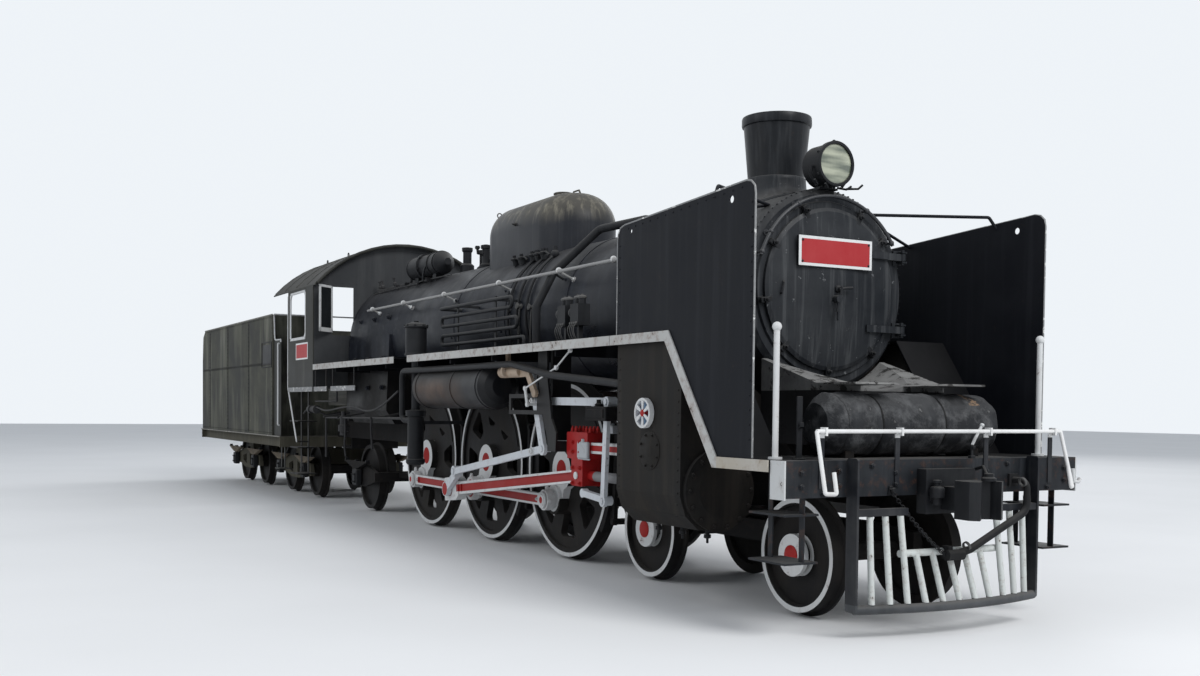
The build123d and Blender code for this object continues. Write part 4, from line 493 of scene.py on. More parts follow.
        p = Paint("drum_skin", 1.0, 0.42, 1.6)
        skin = p.enamel((0.0085, 0.0092, 0.011), (0.06, 0.063, 0.068), 0.3, 0.35, 0.45, (0.1, 0.1, 0.1))
        # The pale mottle also raises the wrap's lumps: partly the wrap's own mottling, partly painted highlight
        # on the lumps where light glances.
        mottle_and_highlight = p.ramp(p.noise(7.5, 6.0, 0.68), 0.47, 0.66)
        skin = p.mix(p.times(mottle_and_highlight, 0.75), skin, (0.105, 0.107, 0.11))
        skin = p.chipped(skin, (0.16, 0.16, 0.158), (0.012, 0.012, 0.013), 0.6)
        torn = p.times(p.within(p.y, 0.5, 0.6), p.within(p.x, 9.28, 9.42), p.beyond(p.z, 1.5),
                       p.ramp(p.noise(12.0, 4.0, 0.6), 0.47, 0.5))
        skin = p.mix(torn, skin, (0.25, 0.17, 0.11))
        across = p.plus(p.y, p.times(p.noise(6.0, 4.0, 0.6), 0.05))
        gaps = p.either(p.within(across, -0.674, -0.668), p.within(p.y, -0.38, -0.36),
                        p.within(p.y, 0.215, 0.235))
        p.finish(p.mix(gaps, skin, (0.004, 0.004, 0.004)), 0.3, 0.3, 0.9, mottle_and_highlight, 0.006, 0.22)

        p = Paint("apron_flaked", 1.0, 0.7, 1.6)
        flakes = p.enamel((0.11, 0.11, 0.11), (0.3, 0.3, 0.29), 0.2, 0.9, 0.7, (0.27, 0.268, 0.26))
        flakes = p.chipped(flakes, (0.04, 0.039, 0.037), (0.16, 0.155, 0.15), 0.6)
        walls = p.enamel("soot", (0.03, 0.03, 0.03), 0.2, 0.4, 0.3)
        p.finish(p.mix(p.below(p.z, 1.68), flakes, walls), 0.7, 0.2, 0.8, distance=0.006)

    def lower_paints(self):
        """Looks of the crossheads, slide bars and valve gear."""
        p = Paint("crosshead_red", 1.0, 0.3, 0.8)
        hidden = p.times(p.beyond(p.y, 0.0), p.below(p.x, 6.89))
        steel = p.times(p.beyond(p.x, 6.45), p.within(p.z, 0.85, 0.99), calc(p.tree, "SUBTRACT", 1.0, hidden))
        body = p.mix(p.times(p.patches, 0.5), (0.33, 0.012, 0.012), (0.19, 0.009, 0.009))
        body = p.chipped(body, (0.06, 0.015, 0.013), (0.1, 0.015, 0.013), 0.3)
        p.finish(p.mix(steel, body, (0.2, 0.2, 0.205)), 0.4)

        p = Paint("slide_bar_paint")
        bars = p.times(p.below(p.side(), 1.0765), p.within(p.z, 1.1255, 1.2245), p.beyond(p.x, 5.676))
        middle = p.times(bars, p.within(p.z, 1.15, 1.2), p.beyond(p.side(), 1.07))
        colour = p.mix(bars, p.enamel("soot", (0.04, 0.038, 0.036), 0.3, 0.5, 0.7), p.white(0.3))
        p.finish(p.mix(middle, colour, hue("red")), 0.45)

        p = Paint("gear_paint", 1.0, 0.34, 0.8)
        reverser = p.either(p.below(p.y, -1.183), p.times(p.below(p.x, 5.292), p.beyond(p.z, 1.79)))
        beige = p.mix(p.times(p.patches, 0.6), hue("beige"), (0.22, 0.16, 0.11))
        colour = p.mix(reverser, p.white(0.3, (0.6, 0.63, 0.66)), p.chipped(beige, "rust", "rust", 0.5))
        for side in SIDES:
            s, x, z = crankpin(side)
            cap = p.times(p.below(p.reach(x, z), 0.072), p.beyond(p.times(p.y, s), 0.9))
            colour = p.mix(cap, colour, hue("red"))
        p.finish(colour)

    def wheel_paint(self, node, x, z, rim=0.0, hub_low=0.0, hub_high=0.0, cranked=False):
        """Black wheel, with a white rim and a white ring round a red hub where it has them."""
        name = node.replace("driving_wheels", "driver_paint") if cranked else f"paint_{node}"
        p = Paint(name, 1.0, 0.3, 0.9)
        colour = p.enamel("soot", (0.034, 0.03, 0.026), 0.3, 0.6, 0.4)
        radius = p.reach(x, z)
        facing = parts(p.tree, add(p.tree, "ShaderNodeNewGeometry").outputs["True Normal"])[1]
        outer = p.times(p.beyond(p.side(), 0.55), p.beyond(calc(p.tree, "ABSOLUTE", facing), 0.7))
        white = p.white(0.3)
        if rim:
            colour = p.mix(p.times(p.within(radius, rim - 0.046, rim), outer), colour, white)
        if cranked:
            for side in SIDES:
                s, pin_x, pin_z = crankpin(side)
                near = p.beyond(p.times(p.y, s), 0.6)
                for share, wide in ((0.3, 0.175), (0.55, 0.15), (0.8, 0.125), (1.0, 0.12)):
                    web = p.reach(x + share * pin_x, z + share * (pin_z - AXLE_HEIGHT))
                    colour = p.mix(p.times(p.below(web, wide), near), colour, white)
        if hub_high:
            colour = p.mix(p.times(p.within(radius, hub_low, hub_high), outer), colour, white)
            colour = p.mix(p.times(p.below(radius, hub_low), outer), colour, hue("red"))
        p.finish(colour, 0.5, specular=0.1)
        paint_node(node, name)

    def rod_paints(self, side):
        """Coupling rod and connecting rod: red flutes, off-white edges, and rings round the pins."""
        s, pin_x, pin_z = crankpin(side)
        pin = spot(pin_x, 0, pin_z)
        red = hue("red")
        p = Paint(f"coupling_rod_paint_{side}", 1.0, 0.34, 0.9)
        edge = p.white()
        colour = p.mix(p.within(p.z, pin.z - 0.038, pin.z + 0.038), edge, red)
        for x, eye in ((-AXLE_SPACING, 0.11), (0, 0.14), (AXLE_SPACING, 0.11)):
            radius = p.reach(pin_x + x, pin_z)
            colour = p.mix(p.below(radius, eye + 0.05), colour, edge)
            colour = p.mix(p.below(radius, eye * 0.72), colour, red)
        p.finish(colour, 0.42)
        paint_node(f"coupling_rod_{side}", p.material.name)

        p = Paint(f"main_rod_paint_{side}", 1.0, 0.34, 0.9)
        rise = CYLINDER_HEIGHT - pin_z
        away = add(p.tree, "ShaderNodeVectorMath", {0: p.place, 1: tuple(pin)},
                   operation="SUBTRACT").outputs[0]
        level = add(p.tree, "ShaderNodeVectorRotate",
                    {"Vector": away, "Axis": LEFT, "Angle": math.asin(rise / MAIN_ROD_LENGTH)},
                    rotation_type="AXIS_ANGLE").outputs[0]
        along = parts(p.tree, level)
        flute = p.times(p.below(calc(p.tree, "ABSOLUTE", along[2]), 0.04), p.beyond(along[0], 0.2),
                        p.below(along[0], 3.0))
        colour = p.mix(flute, p.white(), red)
        p.finish(p.mix(p.below(p.reach(pin_x, pin_z), 0.085), colour, red), 0.42)
        paint_node(f"main_rod_{side}", p.material.name)


# Modelling helpers, with points and sizes in millimetres unless it is said otherwise
def clear():
    """Object mode with nothing selected."""
    if bpy.context.object and bpy.context.object.mode != "OBJECT":
        bpy.ops.object.mode_set(mode="OBJECT")
    bpy.ops.object.select_all(action="DESELECT")


def edit(piece):
    """Opens a piece in edit mode with all its faces selected."""
    bpy.context.tool_settings.mesh_select_mode = (False, False, True)
    bpy.context.view_layer.objects.active = piece
    bpy.ops.object.mode_set(mode="EDIT")
    bpy.ops.mesh.select_all(action="SELECT")


def close():
    """Turns all faces outwards and leaves edit mode."""
    bpy.ops.mesh.select_all(action="SELECT")
    bpy.ops.mesh.normals_make_consistent(inside=False)
    bpy.ops.object.mode_set(mode="OBJECT")


def smooth(degrees):
    bpy.ops.object.shade_smooth_by_angle(angle=math.radians(degrees))


def pull(way):
    bpy.ops.mesh.extrude_region_move(TRANSFORM_OT_translate={"value": way})


def put(piece, point, axis=UP):
    """Turns a piece's Z to an axis and moves it to a point in metres, in its mesh."""
    turn = Vector(axis).to_track_quat("Z", "Y").to_matrix().to_4x4()
    piece.data.transform(Matrix.Translation(point) @ turn)
    return piece


def copy_of(piece):
    copy = piece.copy()
    copy.data = piece.data.copy()
    bpy.context.scene.collection.objects.link(copy)
    return copy


def pair(*pieces):
    """The pieces of the right side with a copy of each on the left, its faces turned back outwards."""
    copies = [copy_of(piece) for piece in pieces]
    for copy in copies:
        copy.data.transform(Matrix.Scale(-1, 4, LEFT))
        copy.data.flip_normals()
    return [*pieces, *copies]


def joined(pieces):
    clear()
    for piece in pieces:
        piece.select_set(True)
    bpy.context.view_layer.objects.active = pieces[0]
    if len(pieces) > 1:
        bpy.ops.object.join()
    return pieces[0]


def made(name, pieces, look, body="engine"):
    """Joins pieces into one, with its name, finish, body and slot."""
    piece = joined(pieces)
    piece.name = piece.data.name = name
    piece.data.materials.clear()
    piece.data.materials.append(looks[look])
    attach(piece, body)
    return piece


def bevelled(piece, width):
    clear()
    piece.select_set(True)
    bpy.context.view_layer.objects.active = piece
    bevel = piece.modifiers.new("bevel", "BEVEL")
    bevel.width = width / 1000
    bevel.limit_method = "ANGLE"
    bevel.angle_limit = math.radians(40)
    bpy.ops.object.modifier_apply(modifier=bevel.name)
    return piece


def turned(profile, sides=24, angle=35):
    """Round piece on Z from a flat row of radii and heights, each ring extruded from the last."""
    rings = [(profile[k] / 1000, profile[k + 1] / 1000) for k in range(0, len(profile), 2)]
    radius, height = rings[0]
    clear()
    bpy.ops.mesh.primitive_circle_add(vertices=sides, radius=radius, fill_type="NGON",
                                      location=(0, 0, height))
    piece = bpy.context.object
    bpy.ops.object.transform_apply()
    edit(piece)
    for next_radius, next_height in rings[1:]:
        pull((0, 0, next_height - height))
        scale = next_radius / radius
        bpy.ops.transform.resize(value=(scale, scale, 1), center_override=(0, 0, 0))
        radius, height = next_radius, next_height
    close()
    smooth(angle)
    return piece


def lathe(place, profile, sides=24, axis=UP, angle=35):
    """Round piece from its profile, at a place and along an axis."""
    return put(turned(profile, sides, angle), spot(*place), axis)


def ring(place, inner, outer, height, sides=32, bevel=2, axis=UP):
    """Flat ring at a place and along an axis, its edges bevelled."""
    clear()
    bpy.ops.mesh.primitive_circle_add(vertices=sides, radius=outer / 1000, fill_type="NGON")
    piece = bpy.context.object
    edit(piece)
    bpy.ops.mesh.inset(thickness=(outer - inner) / 1000 * math.cos(math.pi / sides))
    bpy.ops.mesh.delete(type="FACE")
    bpy.ops.mesh.select_all(action="SELECT")
    pull((0, 0, height / 1000))
    close()
    bevelled(piece, bevel)
    smooth(35)
    return put(piece, spot(*place), axis)


def plate(outline, through, bevel=0.0):
    """Flat plate: the points of its outline and the way through it."""
    clear()
    bpy.ops.mesh.primitive_circle_add(vertices=len(outline), fill_type="NGON")
    piece = bpy.context.object
    for vertex, point in zip(piece.data.vertices, outline):
        vertex.co = spot(*point)
    edit(piece)
    pull(tuple(d / 1000 for d in through))
    close()
    return bevelled(piece, bevel) if bevel else piece


def slab(low, high, bevel=3.0):
    """Bevelled block between two corners."""
    low, high = spot(*low), spot(*high)
    clear()
    bpy.ops.mesh.primitive_cube_add(size=1, location=(low + high) / 2,
                                    scale=tuple(abs(d) for d in high - low))
    bpy.ops.object.transform_apply()
    return bevelled(bpy.context.object, bevel)


def pipe(radius, *points, curved=False, sides=2):
    """Round bar through points, bent at them or curved between them."""
    clear()
    bpy.ops.curve.primitive_bezier_curve_add()
    line = bpy.context.object.data
    line.splines.clear()
    spline = line.splines.new("NURBS" if curved else "POLY")
    spline.points.add(len(points) - 1)
    for knot, point in zip(spline.points, points):
        knot.co = (*spot(*point), 1)
    if curved:
        spline.order_u = 3
        spline.use_endpoint_u = True
        spline.resolution_u = 6
    line.bevel_depth = radius / 1000
    line.bevel_resolution = sides
    line.use_fill_caps = True
    line.dimensions = "3D"
    bpy.ops.object.convert(target="MESH")
    bpy.ops.object.transform_apply()
    smooth(45)
    return bpy.context.object


def hose(radius, *points):
    return pipe(radius, *points, curved=True)


def rivet(width):
    """Snap head of a width in metres: a low ball cut level at its foot."""
    clear()
    bpy.ops.mesh.primitive_uv_sphere_add(segments=8, ring_count=6, radius=width / 2)
    head = bpy.context.object
    edit(head)
    bpy.ops.mesh.bisect(plane_co=(0, 0, 0), plane_no=UP, clear_inner=True, use_fill=True)
    bpy.ops.mesh.select_all(action="SELECT")
    bpy.ops.transform.resize(value=(1, 1, 0.7), center_override=(0, 0, 0))
    bpy.ops.object.mode_set(mode="OBJECT")
    smooth(50)
    return head


def bolt(width):
    """Six sided head of a width in metres on a washer, with the rounded end of the bolt above it."""
    r = width * 500
    head = turned([r * share for share in (1, 0.15, 1, 0.85, 0.86, 0.98, 0.5, 0.98, 0.5, 1.3, 0.36, 1.42)], 6,
                  20)
    return joined([head, turned((r * 1.3, -1, r * 1.3, r * 0.18), 12)])


def scatter(name, pattern, places, look, body="engine"):
    """Copies of one small piece at points with their outward ways, joined."""
    copies = [put(copy_of(pattern), point, axis) for point, axis in places]
    bpy.data.objects.remove(pattern)
    return made(name, copies, look, body)


def radial(degrees):
    """Way out from an axis that runs forward."""
    a = math.radians(degrees)
    return Vector((0, math.cos(a), math.sin(a)))


def around(x, radius, count, start, end):
    """Points and ways on an arc about the boiler's axis."""
    ways = [radial(start + (end - start) * k / (count - 1)) for k in range(count)]
    return [(spot(x, radius * way.y, BOILER_AXIS + radius * way.z), way) for way in ways]


def circle(radius, count, start=0.0):
    """Pairs of steps from a middle to evenly spaced places on a circle."""
    angles = [math.radians(start + 360 * k / count) for k in range(count)]
    return [(radius * math.cos(a), radius * math.sin(a)) for a in angles]


def row(start, end, count, axis):
    """Evenly spaced points between two, with one way out."""
    a, b = spot(*start), spot(*end)
    return [(a.lerp(b, k / (count - 1)), axis) for k in range(count)]


def both_sides(places):
    """The same points on the other side too."""
    return places + [(Vector((p.x, -p.y, p.z)), (a[0], -a[1], a[2])) for p, a in places]


def in_plane(y, *pairs):
    """Points at one y from pairs of x and z."""
    return [(x, y, z) for x, z in pairs]


def struck(node, start, way, drop=0.0):
    """Where a ray from a point in metres meets a node, and a drop further in, or nothing."""
    hit, place, normal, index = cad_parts[node].ray_cast(Vector(start), Vector(way))
    return place + Vector(way) * drop if hit else None


class LOCO_OT_lamp(bpy.types.Operator):
    """Headlamp: ribbed lens, rim with clamps, forked irons under it"""
    bl_idname = "loco.lamp"
    bl_label = "Headlamp"

    def execute(self, context):
        x, z = 5270, 3438
        lens = lathe((x - 12, 0, z), (158, -4, 158, 0, 135, 3.5, 100, 6.2, 60, 8.2, 20, 9), 64, AHEAD, 60)
        made("headlamp_lens", [lens], "lamp_lens")
        rim = [ring((x - 12, 0, z), 153, 178, 14, 64, 4, AHEAD)]
        for degrees in (-150, -90, -28, 32, 92, 152):
            out = radial(degrees)
            rim.append(lathe((x - 30, 179 * out.y, z + 179 * out.z), (13, -6, 13, 4, 9, 10), 8, out))
        made("headlamp_rim", rim, "iron_black")
        irons = pair(pipe(12, (x - 90, -178, z - 20), (x - 90, -186, z - 90), (x - 90, -120, z - 172)),
                     pipe(9, (x - 60, -150, z - 176), (x + 20, -205, z - 182), (x + 30, -240, z - 150)),
                     pipe(9, (x - 60, -60, z - 176), (x + 10, -95, z - 196), (x + 26, -130, z - 170)))
        irons.append(hose(13, (x - 130, 30, z - 150), (x - 260, 90, z - 200), (x - 400, 160, z - 190),
                          (x - 520, 190, z - 215)))
        made("headlamp_irons", irons, "iron_black")
        return {"FINISHED"}


class LOCO_OT_smokebox(bpy.types.Operator):
    """Smokebox door's clamps, rivets, catches and the blank plate"""
    bl_idname = "loco.smokebox"
    bl_label = "Smokebox front"

    def execute(self, context):
        hold = context.scene.fitting_sizes.clamp * 1000
        z = BOILER_AXIS
        clamps = []
        for degrees in (150, 113.5, 64, 38, 190, 226, 268.5, 311):
            out = radial(degrees)
            along = Vector((0, -out.z, out.y))

            def at(away, aside, ahead):
                return Vector((5211 + ahead, 0, z)) + out * (645 + away) + along * aside

            for start, end, wide, deep, lift in ((-hold * 0.75, hold * 0.35, 21, 26, 0),
                                                 (-20, 52, 31, 20, -30)):
                outline = ((start, -wide * 0.7), (start, wide * 0.7), (start + 20, wide), (end, wide),
                           (end, -wide),
                           (start + 20, -wide))
                clamps.append(plate([at(*point, lift) for point in outline], (deep, 0, 0), 4))
            clamps.append(lathe(at(6, 0, 24), (20, 0, 20, 18, 12, 20, 12, 40, 8, 43), 6, AHEAD, 20))
            clamps.append(pipe(14, at(40, -30, -36), at(40, 30, -36)))
        made("door_clamps", clamps, "iron_black", "door")
        handles = [pipe(8, (5228, -500, z - 62), (5268, -508, z - 55), (5268, -492, z + 24),
                        (5232, -470, z + 48),
                        (5228, -470, z - 50)),
                   lathe((5268, 28, z), (30, -20, 30, 20, 18, 30, 18, 52), 16, AHEAD),
                   pipe(11, (5314, 10, z - 6), (5318, 90, z + 8), (5312, 146, z + 12)),
                   pipe(10, (5322, 30, z + 14), (5326, 8, z - 90), (5318, -12, z - 182))]
        made("door_handles", handles, "iron_black", "door")
        rings = []
        for x, count, start, end in ((5135, 64, -30, 210), (3620, 64, -30, 210), (4350, 24, -30, 60),
                                     (4350, 24, 120, 210)):
            rings += around(x, 795.5, count, start, end)
        scatter("smokebox_ring_rivets", rivet(0.02), rings, "smokebox_grey")
        made("front_plate", [slab((5281.5, -370, 2622), (5287.5, 361, 2854), 2)], "plate_border", "door")
        made("front_plate_field", [slab((5287.2, -345, 2645), (5288.8, 336, 2831), 1)], "plate_field", "door")
        corners = [(spot(5288.5, y, z), AHEAD) for y in (-334, 325) for z in (2656, 2820)]
        scatter("front_plate_screws", rivet(0.022), corners, "iron_black", "door")
        return {"FINISHED"}


class LOCO_OT_chimney(bpy.types.Operator):
    """Chimney with its lip, seam and flared foot on the smokebox, and the foot's rivets"""
    bl_idname = "loco.chimney"
    bl_label = "Chimney"

    def execute(self, context):
        foot, seam, flange = 3253, 3414, 352
        place = (CHIMNEY_X, 0, 0)
        stack = lathe(place, (236, seam - 30, 236, seam + 20, 272, 3826, 275, 3862, 289, 3868, 292, 3880, 292,
                              3930,
                              287, 3942, 240, 3944, 222, 3930, 200, 3500), 72, UP, 40)
        made("chimney_stack", [stack], "chimney_black")
        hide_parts("chimney")
        flare = turned((400, foot - 60, 402, foot + 4, 394, foot + 14, 310, foot + 24, 272, foot + 50, 256,
                        foot + 90,
                        250, seam - 12, 250, seam + 12, 246, seam + 18, 240, seam + 20), 72, 40)
        low, high, barrel = foot / 1000, (seam - 30) / 1000, SMOKEBOX_RADIUS / 1000
        for vertex in flare.data.vertices:
            share = max(0.0, min(1.0, (high - vertex.co.z) / (high - low)))
            vertex.co.z += share * (math.sqrt(barrel ** 2 - vertex.co.y ** 2) - barrel)
        made("chimney_foot", [put(flare, spot(*place))], "smokebox_grey")
        places = []
        for dx, y in circle(flange, 28):
            top = BOILER_AXIS + math.sqrt(SMOKEBOX_RADIUS ** 2 - y * y) + 18
            places.append((spot(CHIMNEY_X + dx, y, top), (0, y / SMOKEBOX_RADIUS, 1)))
        scatter("chimney_foot_rivets", rivet(context.scene.fitting_sizes.rivet), places, "smokebox_grey")
        return {"FINISHED"}


class LOCO_OT_dome(bpy.types.Operator):
    """Long rounded dome with its hatch and lifting eyes"""
    bl_idname = "loco.dome"
    bl_label = "Dome"

    def execute(self, context):
        rear, front, top, half, rounding = -792, 1288, 3851, 460, 358
        straight = ((front - rear) / 2 - half) / 1000
        profile = [half, 3000, half, 3300, half, top - rounding]
        for k in range(1, 13):
            a = math.radians(7.5 * k)
            profile += [half - rounding + rounding * math.cos(a), top - rounding + rounding * math.sin(a)]
        shell = turned([*profile, 50, top + 1], 72, 50)
        for vertex in shell.data.vertices:
            if abs(vertex.co.x) > 1e-4:
                vertex.co.x += math.copysign(straight, vertex.co.x)
        made("dome_shell", [put(shell, spot((front + rear) / 2, 0, 0))], "dome_paint")
        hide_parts("dome")
        knob = (20, -10, 20, 14, 11, 18, 11, 40)
        fittings = [lathe((560, 0, 3850), (105, -30, 105, 36, 112, 38, 112, 52, 98, 58, 20, 60), 40),
                    *pair(ring((-632, -250, 3790), 22, 34, 12, 20, 2, AHEAD),
                          lathe((270, -458, 3560), knob, 12, RIGHT)),
                    *[lathe((x, 0, 3850), knob, 12) for x in (-388, 18)],
                    pipe(11, (800, 0, 3848), (812, 0, 3886), (935, 0, 3884), (960, 0, 3850))]
        made("dome_hatch", fittings, "dome_paint")
        return {"FINISHED"}


class LOCO_OT_boiler_fittings(bpy.types.Operator):
    """Knobs of the handrails, small valves with their pipes, lubricator tops and lines, washout plugs"""
    bl_idname = "loco.boiler_fittings"
    bl_label = "Boiler fittings"

    def execute(self, context):
        knobs = []
        foot = Vector((0, -889, 365)).normalized()
        for x in (-3458, -2211, -790, 796, 2220, 3300, 4180):
            knobs.append(ring((x - 11, -889, 2831), 12, 31, 22, 16, 4, AHEAD))
            taper = max(0.0, min(1.0, (x + 2150) / 5710))
            radius = 806 - 47 * taper if x > -2200 else 852
            knobs.append(lathe((x, radius * foot.y, BOILER_AXIS + radius * foot.z),
                               (24, -6, 24, 6, 14, 12, 14, 35), 12, foot))
        made("handrail_knobs", pair(*knobs), "white_paint")
        stack = (85, -60, 85, 30, 60, 45, 52, 60, 52, 230, 68, 235, 68, 275, 30, 285)
        whistle = [size * (0.6, 0.8)[k % 2] for k, size in enumerate(stack)]
        steam = [lathe((-1254, -150, 3240), stack, 24), lathe((-1130, 70, 3252), whistle, 20),
                 pipe(30, (-1254, -150, 3330), (-1180, -60, 3340), (-1130, 70, 3330)),
                 pipe(18, (-1254, -190, 3400), (-1254, -262, 3410), (-1250, -270, 3470)),
                 lathe((-1250, -270, 3480), (26, -20, 34, 0, 26, 20), 12)]
        made("third_valve", steam, "iron_black")
        valves = []
        for x, z in ((1133, 2562), (1423, 2532)):
            valves.append(lathe((x, -764, z), (30, -50, 30, 20, 18, 30, 18, 55, 34, 60, 34, 70), 12,
                                (0, -1, 0.1)))
            valves.append(hose(9, (x, -794, z), (x, -814, z - 80), (x - 50, -784, z - 400)))
        made("side_valves", pair(*valves), "dirty_steel")
        sand = []
        for x in (382, 563, 837, 960, 1099):
            sand.append(lathe((x, -500, 3110), (34, -30, 34, 30, 50, 34, 50, 52, 20, 60, 20, 85), 12,
                              (0, -0.25, 1)))
            sand.append(hose(11, (x + 20, -510, 3150), (x + 100, -530, 3165), (x + 160, -520, 3110)))
        made("sand_valves", pair(*sand), "iron_black")
        lines, lids = [], []
        for middle in (3010, 3260):
            for k in range(4):
                x = middle - 54 + 36 * k
                lines.append(hose(4, (x, -1262, 2245), (x, -1297, 2225), (x + 10 * (k % 3), -1292, 2145),
                                  (x, -1252, 2090)))
                lines.append(lathe((x, -1260, 2249), (12, -4, 12, 14, 8, 18), 6, RIGHT, 20))
            for x in (middle - 38, middle + 38):
                lids.append(lathe((x, -1200, 2473), (38, -4, 42, 8, 30, 20, 12, 26, 12, 34), 16))
            lids.append(ring((middle - 128, -1200, 2350), 28, 47, 12, 20, 2, BACK))
        made("lubricator_lines", lines, "dirty_steel")
        made("lubricator_lids", lids, "dirty_steel")
        plugs = [(spot(x, y, z), (0, 1, lean)) for x in (-4200, -3600, -3000)
                 for z, y, lean in ((2700, 806, 0.28), (2150, 890, 0), (1750, 902, 0))]
        scatter("washout_plugs", bolt(0.06), both_sides(plugs), "boiler_black")
        bands = [(spot(x, y, z), (0, 1, lean)) for x in (2132, 705, -722) for y, z,
                 lean in ((812, 2320, -0.15), (760, 2760, 0.4))]
        scatter("band_bolts", bolt(0.03), both_sides(bands), "boiler_black")
        return {"FINISHED"}


class LOCO_OT_pipework(bpy.types.Operator):
    """Thin pipes on the firebox and under the cab, lids of the pumps, bands and feet of the generator"""
    bl_idname = "loco.pipework"
    bl_label = "Pipework"

    def execute(self, context):
        conduits = []
        for y, high, radius, end in ((-425, 3196, 9, -3080), (-452, 3182, 7, -2050), (-480, 3168, 8, -1500),
                                     (-520, 3140, 12, -2600), (440, 3188, 10, -2200)):
            conduits.append(hose(radius, (-4602, y, high - 30), (-4480, y, high - 10), (-4100, y + 8, high),
                                 (-3500, y - 10, high + 2), (-3000, y + 6, high),
                                 ((end - 3000) / 2, y, high + 2),
                                 (end, y - 30, high - 14)))
        for x, y, high in ((-4300, -470, 3184), (-3560, -470, 3184), (-3180, -470, 3184),
                           (-2300, -490, 3172)):
            conduits.append(slab((x - 10, y - 60, high - 40), (x + 10, y + 60, high + 14), 2))
        cock = (16, -30, 16, 40, 30, 46, 30, 75, 14, 85, 14, 130, 24, 134, 24, 150)
        conduits += [lathe((x, -430, 3176), cock, 12, (0, -0.2, 1)) for x in (-4450, -4330, -3820)]
        made("firebox_pipes", conduits, "pipe_grey")
        low = [hose(12, *in_plane(-1300, (-5452, 1374), (-5142, 1493), (-4700, 1470), (-4263, 1416),
                                  (-3600, 1470),
                                  (-3003, 1500), (-2430, 1415), (-1807, 1490), (-1228, 1682))),
               pipe(17, *in_plane(-1250, (-4430, 760), (-4432, 1325), (-968, 1355))),
               pipe(13, *in_plane(-1290, (-4840, 1560), (-3774, 1560), (-3774, 1705))),
               pipe(15, *in_plane(-1270, (-2286, 941), (-2336, 1228), (-2320, 1330))),
               hose(14, *in_plane(-1240, (-3560, 1330), (-3540, 1100), (-3600, 980), (-3520, 800))),
               lathe((-3640, -1235, 1090), (50, 0, 50, 50, 75, 55, 75, 140, 50, 150, 50, 260, 30, 270, 30,
                                            330), 20),
               lathe((-4950, -1290, 1440), (60, -180, 60, -100, 40, -90, 40, 90, 60, 100, 60, 180), 20,
                     AHEAD)]
        for x, high in ((-4900, 1440), (-4432, 1340), (-3774, 1340), (-2330, 1340)):
            low.append(pipe(14, (x, -1290, high), (x, -1120, 1360), (x, -900, 1400)))
        made("low_pipes", pair(*low), "pipe_grey")
        cover = (118, -20, 142, -12, 142, 6, 128, 10, 115, 30, 60, 50, 30, 52, 30, 70)
        lids = pair(lathe((-886, -1200, 2440), cover, 32), ring((-886, -1200, 2096), 118, 134, 30, 32, 4))
        lids += [put(bolt(0.026), spot(-886 + dx, y + dy, 2449)) for y in (-1200, 1200) for dx,
                 dy in circle(131, 8, 20)]
        made("pump_lids", lids, "iron_black")
        bands = [ring((x, -400, 3370), r - 10, r + 6, 20, 40, 3, AHEAD) for x, r in
                 ((-3040, 152), (-2660, 158), (-2300, 152), (-2110, 150))]
        bands += [put(bolt(0.026), spot(-2596, -400 + dy, 3370 + dz), AHEAD) for dy, dz in circle(160, 6, 15)]
        bands.append(hose(20, (-3080, -400, 3370), (-3140, -400, 3372), (-3170, -420, 3300),
                          (-3160, -440, 3195)))
        bands.append(hose(14, (-2350, -540, 3330), (-2360, -570, 3260), (-2380, -560, 3150)))
        made("generator_bands", bands, "iron_black")
        return {"FINISHED"}


class LOCO_OT_deflectors(bpy.types.Operator):
    """Pale edging and rivets of the smoke deflectors"""
    bl_idname = "loco.deflectors"
    bl_label = "Smoke deflectors"

    def execute(self, context):
        outline = in_plane(-1386, (6117, 1175), (6117, 2950), (6106, 3008), (6066, 3044), (6008, 3056),
                           (4362, 2961),
                           (4300, 2945), (4262, 2905), (4252, 2845), (4251, 2092))
        made("deflector_edging", pair(pipe(context.scene.fitting_sizes.edging * 500 - 1, *outline)),
             "edging_pale")
        places = []
        for x0, z0, x1, z1, count in ((6080, 1300, 6080, 2900, 17), (4420, 2925, 5960, 3015, 15),
                                      (4290, 2150, 4290, 2800, 8)):
            places += row((x0, -1388.3, z0), (x1, -1388.3, z1), count, RIGHT)
        scatter("deflector_rivets", rivet(0.016), both_sides(places), "deflector_black")
        return {"FINISHED"}


